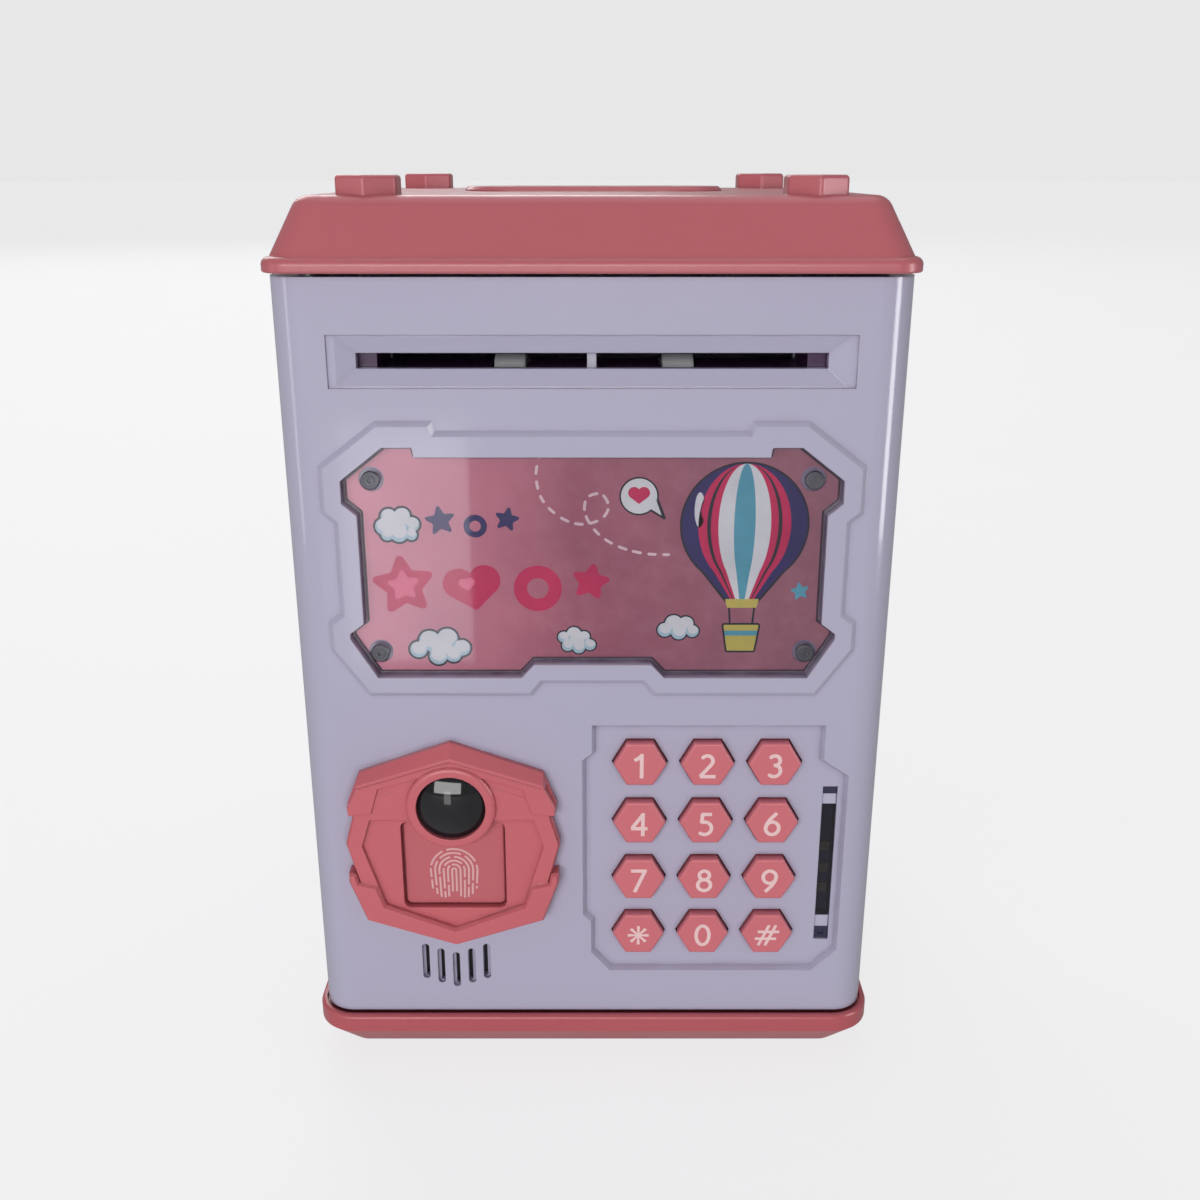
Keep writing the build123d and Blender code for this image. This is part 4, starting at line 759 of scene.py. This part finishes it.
art("basket_line", lambda X, Z: poly(X, Z, [(BX - 3.4, 104.9), (BX + 3.4, 104.9), (BX + 2.6, 99.6), (BX - 2.6, 99.6)]) - 0.6, (BX - 5, BX + 5, 98, 106.2), "line", 2, 0.12)
art("basket_fill", lambda X, Z: poly(X, Z, [(BX - 3.4, 104.9), (BX + 3.4, 104.9), (BX + 2.6, 99.6), (BX - 2.6, 99.6)]) - 0.2, (BX - 5, BX + 5, 98, 106.2), "yellow", 3, 0.12)
art("basket_band", lambda X, Z: np.maximum(poly(X, Z, [(BX - 3.4, 104.9), (BX + 3.4, 104.9), (BX + 2.6, 99.6), (BX - 2.6, 99.6)]) - 0.2, np.abs(Z - 103.3) - 0.55), (BX - 5, BX + 5, 98, 106.2), "teal", 4, 0.12)
cloud("cloud_d", 17.6, 104.4, 1.0, [(-2.7, -0.4, 1.5), (-0.9, 1.0, 1.8), (1.6, 0.9, 1.6), (3.0, -0.7, 1.3), (0.2, -0.9, 1.6)], 0.32)
art("t_star", star_fn(42.4, 112.4, 1.9, 10, 0.25), (39.8, 45, 109.8, 115), "teal", 0, 0.1)

# ---------------------------------------------------------------------------
# stage, light and camera
# ---------------------------------------------------------------------------
def stage_floor():
    bm = bmesh.new()
    n = 96
    rings = [0.0, 0.15, 0.4, 1.0, 3.0, 9.0, 26.0]
    centre = bm.verts.new((0, 0, 0))
    prev = None
    for r in rings[1:]:
        ring = [bm.verts.new((r * math.cos(2 * math.pi * i / n), r * math.sin(2 * math.pi * i / n), 0)) for i in range(n)]
        for i in range(n):
            j = (i + 1) % n
            bm.faces.new((centre, ring[i], ring[j]) if prev is None else (prev[i], ring[i], ring[j], prev[j]))
        prev = ring
    me = bpy.data.meshes.new("floor")
    bm.to_mesh(me)
    bm.free()
    o = bpy.data.objects.new("floor", me)
    scene.collection.objects.link(o)
    m, nt, out = new_mat("floor_m")
    p = nt.nodes.new("ShaderNodeBsdfPrincipled")
    nt.links.new(p.outputs[0], out.inputs["Surface"])
    tc = nt.nodes.new("ShaderNodeTexCoord")
    f = noise(nt, tc.outputs["Object"], 6.0, 3.0, 0.5)
    nt.links.new(mix_col(nt, map_range(nt, f, 0.0, 1.0), (0.155, 0.155, 0.158, 1), (0.17, 0.17, 0.173, 1)), p.inputs["Base Color"])
    nt.links.new(map_range(nt, f, 0.62, 0.72), p.inputs["Roughness"])
    p.inputs["Specular IOR Level"].default_value = 0.1
    p.inputs["Emission Color"].default_value = (1.0, 1.0, 1.01, 1)
    lp = nt.nodes.new("ShaderNodeLightPath")
    nt.links.new(map_range(nt, lp.outputs["Is Camera Ray"], 0.27, 0.76, 0.0, 1.0), p.inputs["Emission Strength"])
    me.materials.append(m)
    return o


stage_floor()

world = bpy.data.worlds.new("world")
scene.world = world
world.use_nodes = True
wt = world.node_tree
wt.nodes.clear()
wo = wt.nodes.new("ShaderNodeOutputWorld")
bg = wt.nodes.new("ShaderNodeBackground")
bg.inputs["Color"].default_value = (0.93, 0.94, 0.96, 1)
bg.inputs["Strength"].default_value = 0.27
bg2 = wt.nodes.new("ShaderNodeBackground")
bg2.inputs["Color"].default_value = (0.80, 0.80, 0.806, 1)
bg2.inputs["Strength"].default_value = 1.0
lp = wt.nodes.new("ShaderNodeLightPath")
mx = wt.nodes.new("ShaderNodeMixShader")
wt.links.new(lp.outputs["Is Camera Ray"], mx.inputs["Fac"])
wt.links.new(bg.outputs[0], mx.inputs[1])
wt.links.new(bg2.outputs[0], mx.inputs[2])
wt.links.new(mx.outputs[0], wo.inputs["Surface"])


def area(name, loc, target, sx, sz, power, colour=(1, 1, 1)):
    d = bpy.data.lights.new(name, "AREA")
    d.shape = "RECTANGLE"
    d.size = sx
    d.size_y = sz
    d.energy = power
    d.color = colour
    o = bpy.data.objects.new(name, d)
    scene.collection.objects.link(o)
    o.location = loc
    o.rotation_euler = (Vector(target) - Vector(loc)).to_track_quat("-Z", "Y").to_euler()
    return o


area("front_box", (-0.35, -1.75, 0.46), (0, 0, 0.09), 1.5, 0.62, 17.2, (1.0, 0.985, 0.98))
# tall strips and a window pane, seen only as reflections in the gloss
for nm, loc, target, sx, sz, power in (("right_strip", (0.370, -0.205, 0.165), (0.057, -0.055, 0.165), 0.10, 0.28, 0.62),
                                       ("left_strip", (-0.370, -0.205, 0.165), (-0.057, -0.055, 0.165), 0.05, 0.28, 0.10),
                                       ("window_pane", (-0.0760, -0.300, 0.045), (-0.0760, 0.0, 0.045), 0.050, 0.110, 0.036)):
    strip = area(nm, loc, target, sx, sz, power)
    strip.visible_diffuse = False
    strip.visible_camera = False
area("top_box", (0.1, 0.35, 1.5), (0, 0, 0.1), 1.2, 1.2, 4.0, (1.0, 1.0, 1.0))
area("back_box", (-0.8, 2.6, 1.8), (0, 0, 0.1), 2.2, 1.6, 36.0, (1.0, 1.0, 1.0))

cam_d = bpy.data.cameras.new("camera")
cam_d.lens = 37.59
cam_d.sensor_width = 36.0
cam_d.clip_start = 0.01
cam_d.clip_end = 60.0
cam = bpy.data.objects.new("camera", cam_d)
scene.collection.objects.link(cam)
cam.location = (0.0015, -0.29752, 0.19393)
cam.rotation_euler = (math.radians(71.06), 0.0, 0.0)
scene.camera = cam

scene.view_settings.view_transform = "Standard"
scene.view_settings.look = "None"
scene.view_settings.exposure = 0.0
scene.view_settings.gamma = 1.0
